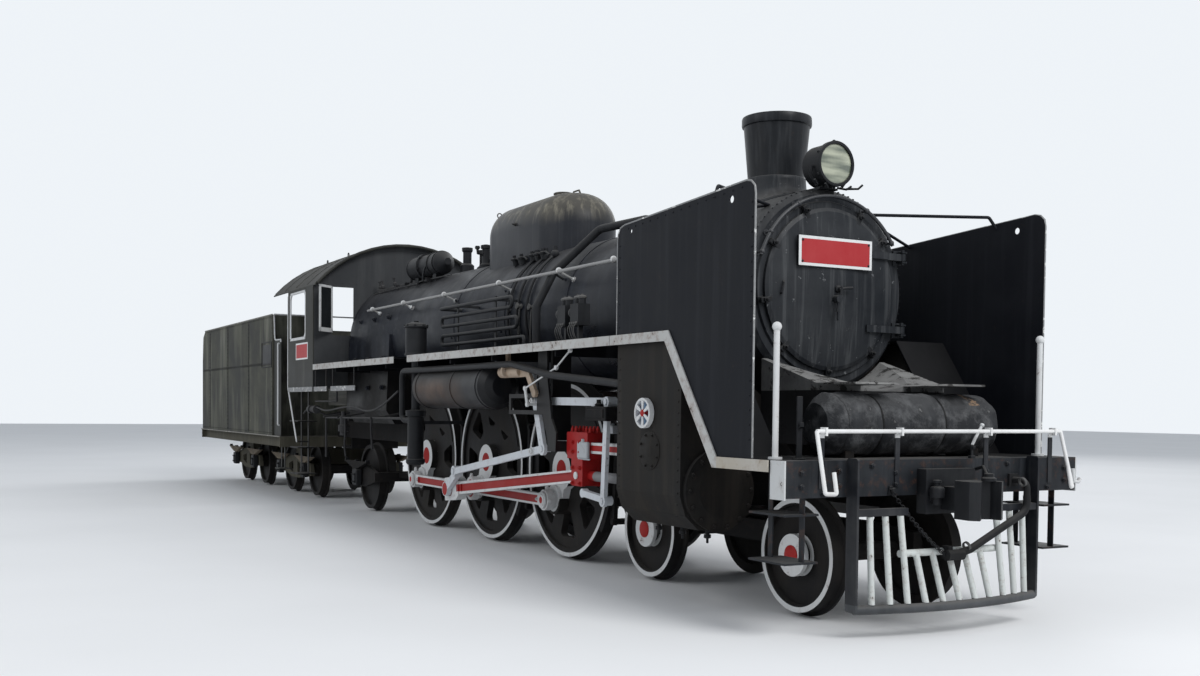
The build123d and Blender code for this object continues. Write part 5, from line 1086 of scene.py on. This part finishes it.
class LOCO_OT_cylinders(bpy.types.Operator):
    """Cylinder covers with their bolts, spoked white discs, round covers and drain cocks"""
    bl_idname = "loco.cylinder_fittings"
    bl_label = "Cylinders"

    def execute(self, context):
        bolts = []
        for middle in (-1015, 1015):
            for count, radius, height in ((14, 278, CYLINDER_HEIGHT), (10, 148, 1500)):
                for dy, dz in circle(radius, count):
                    place = spot(0, middle + dy, height + dz)
                    face = struck("cylinders", (10.0, place.y, place.z), BACK)
                    bolts.append((face or Vector((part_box("cylinders")[1][0], place.y, place.z)), AHEAD))
        scatter("cylinder_cover_bolts", bolt(context.scene.fitting_sizes.bolt), bolts, "cladding_black")
        rivets = []
        for x in (4245, 5128):
            rivets += row((x, -1350.3, 700), (x, -1350.3, 1900), 15, RIGHT)
        scatter("cladding_rivets", rivet(0.018), both_sides(rivets), "cladding_black")
        disc = (4670, -1351, 1468)
        raised = Vector((4670, -1381, 1468))
        spokes = []
        for k in range(6):
            a = math.radians(30 + 60 * k)
            tip, side = Vector((math.cos(a), 0, math.sin(a))), Vector((-math.sin(a), 0, math.cos(a)))
            corners = [raised + tip * out + side * aside for out,
                       aside in ((20, -8), (20, 8), (100, 17), (100, -17))]
            spokes.append(plate(corners, (0, -10, 0), 1))
        made("spoked_discs", pair(ring(disc, 98, 118, 44, 48, 3, RIGHT), *spokes), "white_paint")
        made("disc_hubs", pair(lathe(disc, (30, -1, 30, 36, 24, 44, 12, 46), 24, RIGHT)), "red_paint")
        made("disc_fields", pair(lathe(disc, (100, -3, 100, 2, 30, 2.5), 48, RIGHT)), "disc_blue")
        x, y, z = cover = (4725, -1350.5, 1177)
        cap = lathe(cover, (150, -4, 150, 4, 142, 8, 60, 9, 50, 13, 10, 14), 48, RIGHT)
        made("round_covers", pair(cap), "cladding_black")
        lids = [(spot(x + dx, y - 8, z + dz), RIGHT) for dx, dz in circle(128, 8, 22.5)]
        scatter("round_cover_bolts", bolt(0.02), both_sides(lids), "cladding_black")
        cock = (16, -30, 16, 30, 28, 34, 28, 60, 10, 66, 10, 100)
        made("drain_cocks", pair(*[lathe((x, -1015, 575), cock, 10, DOWN) for x in (4330, 4687, 5040)]),
             "iron_black")
        return {"FINISHED"}


class LOCO_OT_boards(bpy.types.Operator):
    """Low strip beside the cab and the hangers that carry it under the running board"""
    bl_idname = "loco.boards"
    bl_label = "Running boards"

    def execute(self, context):
        strips = [slab((start, -1401.5, 1700), (end, -1390, 1768), 1.5) for start, end in
                  ((-5985, -5520), (-5514, -5130), (-5124, -4640))]
        strips += [slab((start, -1399, 1700), (end, -1385, 1766), 1.5) for start,
                   end in ((-4560, -3930), (-3720, -2640))]
        made("low_strips", pair(*strips), "edging_pale")
        hangers = [slab((x - 20, -1388, 1706), (x + 20, -1380, 2062), 1.5)
                   for x in (-4500, -3980, -3660, -2700)]
        made("strip_hangers", pair(*hangers), "frame_soot")
        return {"FINISHED"}


class LOCO_OT_front(bpy.types.Operator):
    """Beam bolts, rail hook, lamp bracket, lever, chain, the drum's wrap and the coupler's valve"""
    bl_idname = "loco.front"
    bl_label = "Front end"

    def execute(self, context):
        hook = pipe(15.5, (6506, 1368, 1010), (6508, 1350, 985), (6506, 1300, 990), (6504, 1290, 1085))
        made("rail_hook", [hook], "white_paint")
        heads = [(spot(6464.3, y, z), AHEAD) for y,
                 z in ((925, 1100), (925, 1000), (1240, 1090), (1240, 1000),
                       (430, 1080), (430, 1000), (640, 1130), (1060, 950))]
        scatter("beam_bolts", bolt(context.scene.fitting_sizes.bolt), both_sides(heads), "beam_paint")
        lamp_iron = [slab((6292, -1156, 1171), (6306, -1112, 1595), 2),
                     slab((6306, -1150, 1380), (6330, -1118, 1392), 2),
                     slab((6322, -1150, 1380), (6330, -1118, 1420), 2),
                     slab((6270, -1170, 1170), (6330, -1098, 1182), 2)]
        made("lamp_iron", lamp_iron, "iron_black")
        lever = [pipe(11, (6430, 322, 1262), (6432, 350, 1310), (6434, 415, 1408)),
                 lathe((6434, 415, 1408), (14, -10, 18, 0, 14, 10), 10, (0, 0.5, 1))]
        made("front_lever", lever, "white_paint")
        stand = [slab((6414, 300, 1170), (6446, 344, 1190), 2), slab((6424, 312, 1188), (6438, 332, 1270), 2),
                 put(bolt(0.03), spot(6438, 322, 1250), AHEAD)]
        made("lever_stand", stand, "iron_black")
        self.chain()
        eye = [plate([(6465, y, z) for y, z in ((-500, 930), (-448, 930), (-460, 990), (-488, 990))],
                     (12, 0, 0), 2),
               lathe((6476, -474, 962), (12, 0, 12, 20, 20, 24, 14, 34), 10, AHEAD)]
        made("chain_eye", eye, "iron_black")
        self.drum()
        body = (30, 0, 30, 50, 52, 52, 52, 110, 44, 125, 20, 130, 20, 150, 30, 153, 30, 170, 12, 174)
        valve = [lathe((6598, -170, 860), body, 20), pipe(26, (6550, -170, 905), (6600, -170, 905))]
        made("beam_valve", valve, "iron_black")
        lock = [lathe((6845, 60, 1034), (50, 0, 50, 20, 34, 30, 34, 50, 12, 56), 20),
                lathe((6650, 0, 985), (45, 0, 45, 16, 30, 28), 6, UP, 20),
                pipe(12, (6500, 260, 1090), (6620, 240, 1120), (6800, 90, 1072), (6845, 60, 1060))]
        made("coupler_lock", lock, "iron_black")
        clips = [ring((6606, y, z), 26, 34, 22, 20, 2, (0, 1, lean)) for y, z,
                 lean in ((640, 1000, 0.3), (100, 560, 0.4))]
        made("hose_clips", clips, "dirty_steel")
        return {"FINISHED"}

    def chain(self):
        """Links along a curve that hangs between the beam and the coupler, each turned from the last."""
        start, middle, end = spot(6480, -474, 955), spot(6540, -260, 655), spot(6598, -84, 512)
        clear()
        bpy.ops.mesh.primitive_torus_add(major_segments=12, minor_segments=6, major_radius=0.012,
                                         minor_radius=0.0032)
        link = bpy.context.object
        edit(link)
        bpy.ops.transform.resize(value=(1.55, 1, 1), center_override=(0, 0, 0))
        bpy.ops.object.mode_set(mode="OBJECT")
        smooth(60)
        links = []
        count = 26
        for k in range(count):
            t = k / (count - 1)
            point = (1 - t) ** 2 * start + 2 * t * (1 - t) * middle + t * t * end
            way = (1 - t) * (middle - start) + t * (end - middle)
            turn = way.to_track_quat("X", "Z").to_matrix().to_4x4()
            twist = Matrix.Rotation(math.radians(90 * (k % 2) + 20), 4, "X")
            links.append(copy_of(link))
            links[-1].data.transform(Matrix.Translation(point) @ turn @ twist)
        bpy.data.objects.remove(link)
        made("front_chain", links, "iron_black")

    def drum(self):
        """The drum's lumpy wrap with its two gaps, in place of the drum, and the cradles under it."""
        half, radius, gaps = 815, 226, (-370, 225)
        heights = [(2 * half - 220) * k / 44 - half + 110 for k in range(45)]
        for gap in gaps:
            heights = [h for h in heights if abs(h - gap) > 22] + [gap - 20, gap - 11, gap + 11, gap + 20]
        ends = [(60, half), (148, half - 2), (158, half - 12), (radius - 6, half - 78), (radius, half - 88)]
        rings = [(r, -h) for r, h in ends] + [(radius, h) for h in sorted(heights)] + ends[::-1]
        wrap = turned([size for pair_of_sizes in rings for size in pair_of_sizes], 72, 28)
        for vertex in wrap.data.vertices:
            place = vertex.co.copy()
            lump = 0.013 * lumps.noise(place * 5) + 0.009 * lumps.noise(place * 14) - 0.004
            if min(abs(place.z * 1000 - gap) for gap in gaps) < 15:
                lump = -0.016
            vertex.co += Vector((place.x, place.y, 0)).normalized() * lump
        made("drum_wrap", [put(wrap, spot(DRUM_X, 0, 1408), LEFT)], "drum_skin")
        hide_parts("front_drum")
        made("drum_cradles", [slab((5930, y - 40, 1168), (6190, y + 40, 1300), 4) for y in (-600, 600)],
             "frame_soot")


class LOCO_OT_motion(bpy.types.Operator):
    """Pin caps, nuts, oil cups and bolts of the rods, crossheads and valve gear"""
    bl_idname = "loco.motion"
    bl_label = "Motion"

    def execute(self, context):
        boxes = []
        for side in SIDES:
            self.rod_fittings(side)
            self.crosshead_fittings(side)
            s, x = SIDES[side], CROSSHEAD_X[side]
            boxes += [slab((x + 36, s * 1096, 1050), (x + 228, s * 1128, 1200), 8),
                      slab((x + 24, s * 1096, 1036), (x + 240, s * 1112, 1052), 4),
                      lathe((x + 130, s * 1110, 1202), (20, -10, 20, 20, 14, 24), 12)]
        made("grease_boxes", boxes, "oil_box_grey")
        guides = pair(slab((3430, -1100, 1392), (3800, -1232, 1516), 6),
                      slab((3470, -1226, 1416), (3760, -1240, 1492), 4),
                      lathe((3560, -1166, 1516), (36, -20, 36, 20, 20, 30, 20, 60), 12),
                      pipe(34, (3880, -1110, 1456), (4230, -1110, 1456)))
        made("stem_guides", guides, "frame_soot")
        flange = ring((1822, -1250, 1864), 30, 70, 22, 32, 4, (1, 0, -0.02))
        made("reverser_flange", [flange], "reverser_beige")
        points = in_plane(-1300, (3270, 2010), (3000, 1862), (2350, 1682), (2400, 1530))
        rods = [pipe(8, *points[:2]), pipe(8, (3020, -1300, 1872), (2980, -1300, 1858), points[2]),
                pipe(15, *points[2:]),
                *[lathe(point, (22, -12, 24, 0, 22, 12), 12, LEFT) for point in points],
                slab((3255, -1290, 1995), (3285, -1310, 2062), 2),
                pipe(12, (2400, -1300, 1530), (2400, -1185, 1530))]
        made("cock_levers", pair(*rods), "white_paint")
        return {"FINISHED"}

    def rod_fittings(self, side):
        """Caps on the outer crankpins, oil cups and bolts of a coupling rod, which ride it."""
        s, x, z = crankpin(side)
        out, body = (0, s, 0), f"side_rod_{side}"
        ends = (x - AXLE_SPACING, x + AXLE_SPACING)
        made(f"pin_caps_{side}", [ring((end, s * 840, z), 34, 62, 8, 32, 2, out) for end in ends],
             "white_paint", body)
        centres = [lathe((end, s * 840, z), (34, -2, 34, 6, 28, 10), 24, out) for end in ends]
        made(f"pin_centres_{side}", centres, "red_paint", body)
        cup = (20, -10, 20, 30, 14, 36, 14, 50)
        cups = [lathe((end, s * 777, z + lift), cup, 12) for end,
                lift in ((ends[0], 103), (ends[1], 103), (x - 60, 118))]
        made(f"oil_cups_{side}", cups, "white_paint", body)
        bolts = [(spot(place, s * 815, z), out) for eye in (ends[0], x, ends[1])
                 for place in (eye + 150, eye - 150)
                 if -2100 < place < 1990]
        scatter(f"rod_bolts_{side}", bolt(0.03), bolts, "white_paint", body)

    def crosshead_fittings(self, side):
        """Bolts, studs and oil box of a crosshead, and the nuts of its valve gear."""
        s, x = SIDES[side], CROSSHEAD_X[side]
        out, crosshead = (0, s, 0), f"crosshead_{side}"

        def outer(node, x, z):
            place = spot(x, 0, z)
            return struck(node, (place.x, s * 3.0, place.z), (0, -s, 0), 0.0005)

        heads = [outer(crosshead, x + dx, CYLINDER_HEIGHT + dz) for dz in (300, 215, -70, 70)
                 for dx in (-70, 70)]
        scatter(f"crosshead_bolts_{side}", bolt(0.034), [(head, out) for head in heads if head], "red_paint")
        studs = []
        for dx in (-170, -100, 100, 170):
            for y in (985, 1060):
                place = spot(x + dx, s * y, 0)
                foot = struck(crosshead, (place.x, place.y, 5.0), DOWN)
                if foot:
                    studs.append(put(turned((30, -10, 30, 12, 20, 14, 20, 42, 12, 44, 12, 60), 6, 20), foot))
        if studs:
            made(f"crosshead_studs_{side}", studs, "red_paint")
        low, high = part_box(crosshead)
        origin = spot(0, 0, 0)
        x, z = ((low[0] + high[0]) / 2 - origin.x) * 1000, (high[2] - origin.z) * 1000
        box = [slab((x - 70, s * 960, z - 2), (x + 50, s * 1050, z + 62), 5),
               slab((x - 76, s * 954, z + 60), (x + 56, s * 1056, z + 70), 3),
               lathe((x - 20, s * 1005, z + 69), (16, 0, 16, 14, 10, 20), 10)]
        made(f"oil_box_{side}", box, "oil_box_grey")
        pins = [outer(f"valve_gear_{side}", *pin) for pin in ((2281, 1565), (2244, 1082))]
        scatter(f"link_nuts_{side}", bolt(0.06), [(pin, out) for pin in pins if pin], "white_paint")


class LOCO_OT_hubs(bpy.types.Operator):
    """White hub discs with red middles on the leading wheels"""
    bl_idname = "loco.hubs"
    bl_label = "Leading hubs"

    def execute(self, context):
        for end in ("front", "rear"):
            x, z = CARRYING_WHEELS[f"leading_wheels_{end}"]
            disc = lathe((x, -660, z), (158, -30, 158, 4, 152, 6, 80, 7), 48, RIGHT)
            made(f"hub_discs_{end}", pair(disc), "white_paint", f"leading_axle_{end}")
            cap = lathe((x, -662, z), (75, 0, 75, 12, 66, 18, 20, 20), 32, RIGHT)
            made(f"hub_caps_{end}", pair(cap), "red_paint", f"leading_axle_{end}")
        return {"FINISHED"}


class LOCO_OT_cab(bpy.types.Operator):
    """White window frames, swung out sash, blank plates, rivets, roof ribs and gutters"""
    bl_idname = "loco.cab"
    bl_label = "Cab"

    def execute(self, context):
        self.windows()
        self.roof()
        border = slab((-5533, -1400.9, 2177), (-4876, -1399.5, 2424), 0.3)
        made("side_plates", pair(border), "plate_border")
        field = slab((-5505, -1401.5, 2200), (-4904, -1400.7, 2401), 0.2)
        made("side_plate_fields", pair(field), "plate_field")
        screws = [(spot(x, -1398.2, z), RIGHT) for x in (-5519, -4890) for z in (2189, 2412)]
        scatter("side_plate_screws", rivet(0.01), both_sides(screws), "iron_black")
        rivets = []
        for x0, z0, x1, z1, count in ((-5960, 1820, -5960, 3180, 18), (-4640, 1820, -4640, 3180, 18),
                                      (-5930, 1790, -4670, 1790, 16)):
            rivets += row((x0, -1396.8, z0), (x1, -1396.8, z1), count, RIGHT)
        scatter("cab_rivets", rivet(0.014), both_sides(rivets), "cab_black")
        wall = row((-4599.5, -640, 3280), (-4599.5, -1180, 3280), 6, AHEAD)
        wall += row((-4599.5, -1360, 1900), (-4599.5, -1360, 3150), 14, AHEAD)
        scatter("cab_wall_rivets", rivet(0.016), both_sides(wall), "cab_wall_grey")
        return {"FINISHED"}

    def windows(self):
        rear, front, low, high, outer, inner = -5883, -5000, 2472, 3200, -1401.2, -1384
        frames = [slab((rear, outer, low), (front, inner, low + 42)),
                  slab((rear, outer, high - 34), (front, inner, high)),
                  slab((rear, outer, low), (rear + 40, inner, high)),
                  slab((front - 40, outer, low), (front, inner, high))]
        for x, z, dx, dz in ((rear + 40, high - 34, 55, -55), (front - 40, high - 34, -55, -55),
                             (front - 40, low + 42, -55, 55)):
            frames.append(plate(in_plane(outer, (x, z), (x + dx, z), (x, z + dz)), (0, inner - outer, 0), 1))
        frames = pair(*frames)
        panes = []
        for s in SIDES.values():
            hinge, edge = Vector((-4598, s * 1124, 2560)), Vector((-4384, s * 1376, 2560))
            way, up = (edge - hinge).normalized(), Vector(UP)
            through = Vector((-way.y, way.x, 0)) * 18
            top_hinge, top_edge = hinge + up * 670, edge + up * 670
            for a, b, inwards in ((hinge, edge, up * 60), (top_hinge, top_edge, up * -34),
                                  (hinge, top_hinge, way * 36),
                                  (edge, top_edge, way * -36)):
                frames.append(plate([a, b, b + inwards, a + inwards], through, 2))
            panes.append(plate([p + through * 0.4 for p in (hinge, edge, top_edge, top_hinge)],
                               through * 0.25))
        made("window_frames", frames, "white_paint")
        made("sash_panes", panes, "dark_glass")

    def roof(self):
        radius, centre = 1832.7, 2057.3
        angles = [math.radians(-48.6 + 97.2 * k / 16) for k in range(17)]
        ribs = pair(pipe(9, (-6885, -1392, 3236), (-4485, -1392, 3236)),
                    pipe(5.5, (-5900, -1396, 3214), (-4985, -1396, 3214)))
        for x in (-6870, -6250, -5600, -4990, -4500):
            arc = [(x, radius * math.sin(a), centre + (radius + 1) * math.cos(a)) for a in angles]
            ribs.append(pipe(8, *arc, sides=1))
        bead = [(-4486, (radius - 12) * math.sin(a), centre + (radius - 12) * math.cos(a)) for a in angles]
        ribs.append(pipe(24, *bead, sides=3))
        top = centre + math.sqrt(radius ** 2 - 700 ** 2)
        for x in (-6300, -5200):
            ribs += [ring((x, y, top + 22), 22, 34, 12, 16, 2, LEFT) for y in (-700, 700)]
        made("roof_ribs", ribs, "cab_black")


class LOCO_OT_tender(bpy.types.Operator):
    """Seams, rivets, ledges, edging and panel frames of the tender"""
    bl_idname = "loco.tender"
    bl_label = "Tender"

    def execute(self, context):
        seams, rivets = [slab((-12790, -1379.5, 2150), (-7080, -1381.8, 2196), 0.8)], []
        for x, high in ((-8729, 2930), (-10416, 2930), (-12050, 2900)):
            seams.append(slab((x - 34, -1379.5, 1030), (x + 34, -1382.5, high), 0.8))
            for place in (x - 20, x + 20):
                rivets += row((place, -1382, 1070), (place, -1382, 2880), 26, RIGHT)
        for y, x0, z0, x1, z1, count in ((-1381.4, -12700, 2173, -7100, 2173, 62),
                                         (-1379.6, -12700, 1050, -7100, 1050, 62),
                                         (-1379.6, -12500, 2925, -7100, 2925, 60),
                                         (-1379.6, -7090, 1090, -7090, 2900, 24)):
            rivets += row((x0, y, z0), (x1, y, z1), count, RIGHT)
        made("tender_seams", pair(*seams), "seam_dark", "tender")
        scatter("tender_rivets", rivet(0.02), both_sides(rivets), "seam_dark", "tender")
        ledges = pair(slab((-12870, -1398, 990), (-6570, -1372, 1008), 2),
                      pipe(12, (-12540, -1379, 2962), (-7062, -1379, 2962), sides=1))
        made("tender_ledges", ledges, "ledge_pale", "tender")
        front = in_plane(-1352, (-7058, 2962), (-7030, 2800), (-7020, 2640), (-6985, 2560), (-6930, 2543),
                         (-6622, 2541),
                         (-6618, 2500))
        edges = [*pair(pipe(13, *front)), pipe(13, (-7058, -1352, 2966), (-7058, 1352, 2966), sides=1)]
        made("tender_edges", edges, "white_paint", "tender")
        x0, x1, z0, z1 = -7742, -7090, 2120, 2524
        panels = pair(pipe(10, *in_plane(-1382, (x0, z0), (x1, z0), (x1, z1), (x0, z1), (x0, z0))),
                      slab((x0 + 40, -1379, z0 + 40), (x1 - 40, -1384, z1 - 40), 2))
        made("tender_panels", panels, "iron_black", "tender")
        x = -12800.5
        rear = both_sides(row((x, -1330, 1060), (x, -1330, 2300), 18, BACK))
        for z in (1060, 2330):
            rear += row((x, -1280, z), (x, 1280, z), 26, BACK)
        scatter("tender_rear_rivets", rivet(0.017), rear, "tender_streaked", "tender")
        return {"FINISHED"}


class LOCO_OT_axleboxes(bpy.types.Operator):
    """Axleboxes and leaf springs of the tender bogies and the trailing truck"""
    bl_idname = "loco.axleboxes"
    bl_label = "Axleboxes and springs"

    def execute(self, context):
        for end in ("front", "rear"):
            body = f"tender_bogie_frame_{end}"
            names = (f"axleboxes_{body}", f"springs_{body}", f"axlebox_bolts_{body}")
            self.spring_sets([f"tender_{end}_wheels_{k}" for k in (1, 2)], names, "spring_beige", body)
        names = ("truck_axleboxes", "truck_springs", "truck_box_bolts")
        self.spring_sets(["trailing_wheels"], names, "frame_soot", "trailing_truck_frame")
        return {"FINISHED"}

    def spring_sets(self, wheels, names, leaf_look, body):
        """Box with its lid, leaf spring and hangers at each end of the axles, and the lids' bolts."""
        inner, outer = -770, -862
        boxes, leaves, bolts = [], [], []
        for x, z in (CARRYING_WHEELS[node] for node in wheels):
            boxes += [slab((x - 95, inner - 2, z - 120), (x + 95, outer, z + 110), 12),
                      slab((x - 60, outer, z - 85), (x + 60, outer - 14, z + 60), 8),
                      slab((x - 26, inner - 20, z + 108), (x + 26, outer + 16, z + 250), 4)]
            for start, end in ((x - 492, x - 464), (x + 492, x + 464)):
                boxes.append(slab((start, inner - 20, z + 210), (end, outer + 16, z + 262), 3))
            for k in range(7):
                half, low = 130 + 62 * k, z + 126 + 15 * k
                leaves.append(slab((x - half, inner - 14, low), (x + half, outer + 10, low + 13.4), 1.5))
            bolts += [(spot(x + dx, outer - 12, z + dz), RIGHT) for dx in (-44, 44) for dz in (-66, 42)]
        made(names[0], pair(*boxes), "iron_black", body)
        made(names[1], pair(*leaves), leaf_look, body)
        scatter(names[2], bolt(0.024), both_sides(bolts), "iron_black", body)


class LOCO_OT_stage(bpy.types.Operator):
    """Floor, soft lamps, surrounding light and the camera"""
    bl_idname = "loco.stage"
    bl_label = "Stage"

    def execute(self, context):
        settings = context.scene.stage_settings
        bpy.ops.object.select_all(action="DESELECT")
        bpy.ops.mesh.primitive_plane_add(size=160, location=(0, 0, 0))
        floor = context.object
        floor.name = "floor"
        material = bpy.data.materials.new("floor_pale")
        material.use_nodes = True
        tree = material.node_tree
        cloud = noise(tree, add(tree, "ShaderNodeTexCoord").outputs["Object"], 0.35, 3.0, 0.5)
        base = tuple(settings.floor_colour)
        colour = mix(tree, ramp(tree, cloud, 0.35, 0.7), base, tuple(v * 0.965 for v in base))
        shader = tree.nodes["Principled BSDF"]
        tree.links.new(colour, shader.inputs["Base Color"])
        shader.inputs["Roughness"].default_value = 0.85
        floor.data.materials.append(material)

        world = context.scene.world = bpy.data.worlds.new("surrounding")
        world.use_nodes = True
        tree = world.node_tree
        tree.nodes.clear()
        rays = add(tree, "ShaderNodeLightPath").outputs
        seen = calc(tree, "MAXIMUM", rays["Is Glossy Ray"], rays["Is Transmission Ray"])
        seen = calc(tree, "MAXIMUM", rays["Is Camera Ray"], seen)
        lit = add(tree, "ShaderNodeBackground",
                  {"Color": (0.86, 0.92, 1.0, 1), "Strength": settings.sky_strength})
        shown = add(tree, "ShaderNodeBackground", {"Color": (0.86, 0.9, 0.94, 1), "Strength": 1.0})
        both = add(tree, "ShaderNodeMixShader", {0: seen, 1: lit.outputs[0], 2: shown.outputs[0]})
        tree.links.new(both.outputs[0], add(tree, "ShaderNodeOutputWorld").inputs[0])

        for name, place, target, size, share in (("key_lamp", (26, 3, 20), (6, 0, 2), 14.0, 1.0),
                                                 ("side_lamp", (3, -22, 14), (1, 0, 1.5), 16.0, 0.28),
                                                 ("far_lamp", (-14, 20, 18), (-4, 0, 2), 16.0, 0.4)):
            data = bpy.data.lights.new(name, "AREA")
            data.shape = "DISK"
            data.size = size
            data.energy = settings.key_power * share
            lamp = bpy.data.objects.new(name, data)
            lamp.location = place
            lamp.rotation_euler = (Vector(target) - Vector(place)).to_track_quat("-Z", "Y").to_euler()
            context.scene.collection.objects.link(lamp)

        data = bpy.data.cameras.new("camera")
        data.sensor_width = 36
        data.lens = 36.51
        data.shift_y = 0.0914
        data.clip_end = 500
        camera = context.scene.camera = bpy.data.objects.new("camera", data)
        context.scene.collection.objects.link(camera)
        yaw, pitch, roll = math.radians(61.173), math.radians(-1.858), math.radians(0.6025)
        ahead = Vector((-math.sin(yaw) * math.cos(pitch), math.cos(yaw) * math.cos(pitch), math.sin(pitch)))
        right = Vector((math.cos(yaw), math.sin(yaw), 0))
        up = right.cross(ahead)
        turned_right = math.cos(roll) * right + math.sin(roll) * up
        turned_up = -math.sin(roll) * right + math.cos(roll) * up
        turn = Matrix((turned_right, turned_up, -ahead)).transposed()
        camera.matrix_world = Matrix.Translation((15.9933, -6.2371, 1.5317)) @ turn.to_4x4()
        context.scene.view_settings.view_transform = "Standard"
        return {"FINISHED"}


operators = [LOCO_OT_paints, LOCO_OT_lamp, LOCO_OT_smokebox, LOCO_OT_chimney, LOCO_OT_dome,
             LOCO_OT_boiler_fittings,
             LOCO_OT_pipework, LOCO_OT_deflectors, LOCO_OT_cylinders, LOCO_OT_boards, LOCO_OT_front,
             LOCO_OT_motion,
             LOCO_OT_hubs, LOCO_OT_cab, LOCO_OT_tender, LOCO_OT_axleboxes, LOCO_OT_stage]


class LOCO_PT_panel(bpy.types.Panel):
    """Lists the steps in the sidebar"""
    bl_idname = "LOCO_PT_panel"
    bl_label = "Locomotive"
    bl_space_type = "VIEW_3D"
    bl_region_type = "UI"
    bl_category = "Locomotive"

    def draw(self, context):
        for operator in operators:
            self.layout.operator(operator.bl_idname)
        for group in (context.scene.paint_colours, context.scene.fitting_sizes, context.scene.stage_settings):
            for key in group.__annotations__:
                self.layout.prop(group, key)


classes = [PaintColours, FittingSizes, StageSettings, *operators, LOCO_PT_panel]


def register():
    for cls in classes:
        bpy.utils.register_class(cls)
    bpy.types.Scene.paint_colours = PointerProperty(type=PaintColours)
    bpy.types.Scene.fitting_sizes = PointerProperty(type=FittingSizes)
    bpy.types.Scene.stage_settings = PointerProperty(type=StageSettings)


def unregister():
    del bpy.types.Scene.paint_colours, bpy.types.Scene.fitting_sizes, bpy.types.Scene.stage_settings
    for cls in reversed(classes):
        bpy.utils.unregister_class(cls)


def main():
    register()
    for operator in operators:
        group, name = operator.bl_idname.split(".")
        getattr(getattr(bpy.ops, group), name)()


if __name__ == "__main__":
    main()
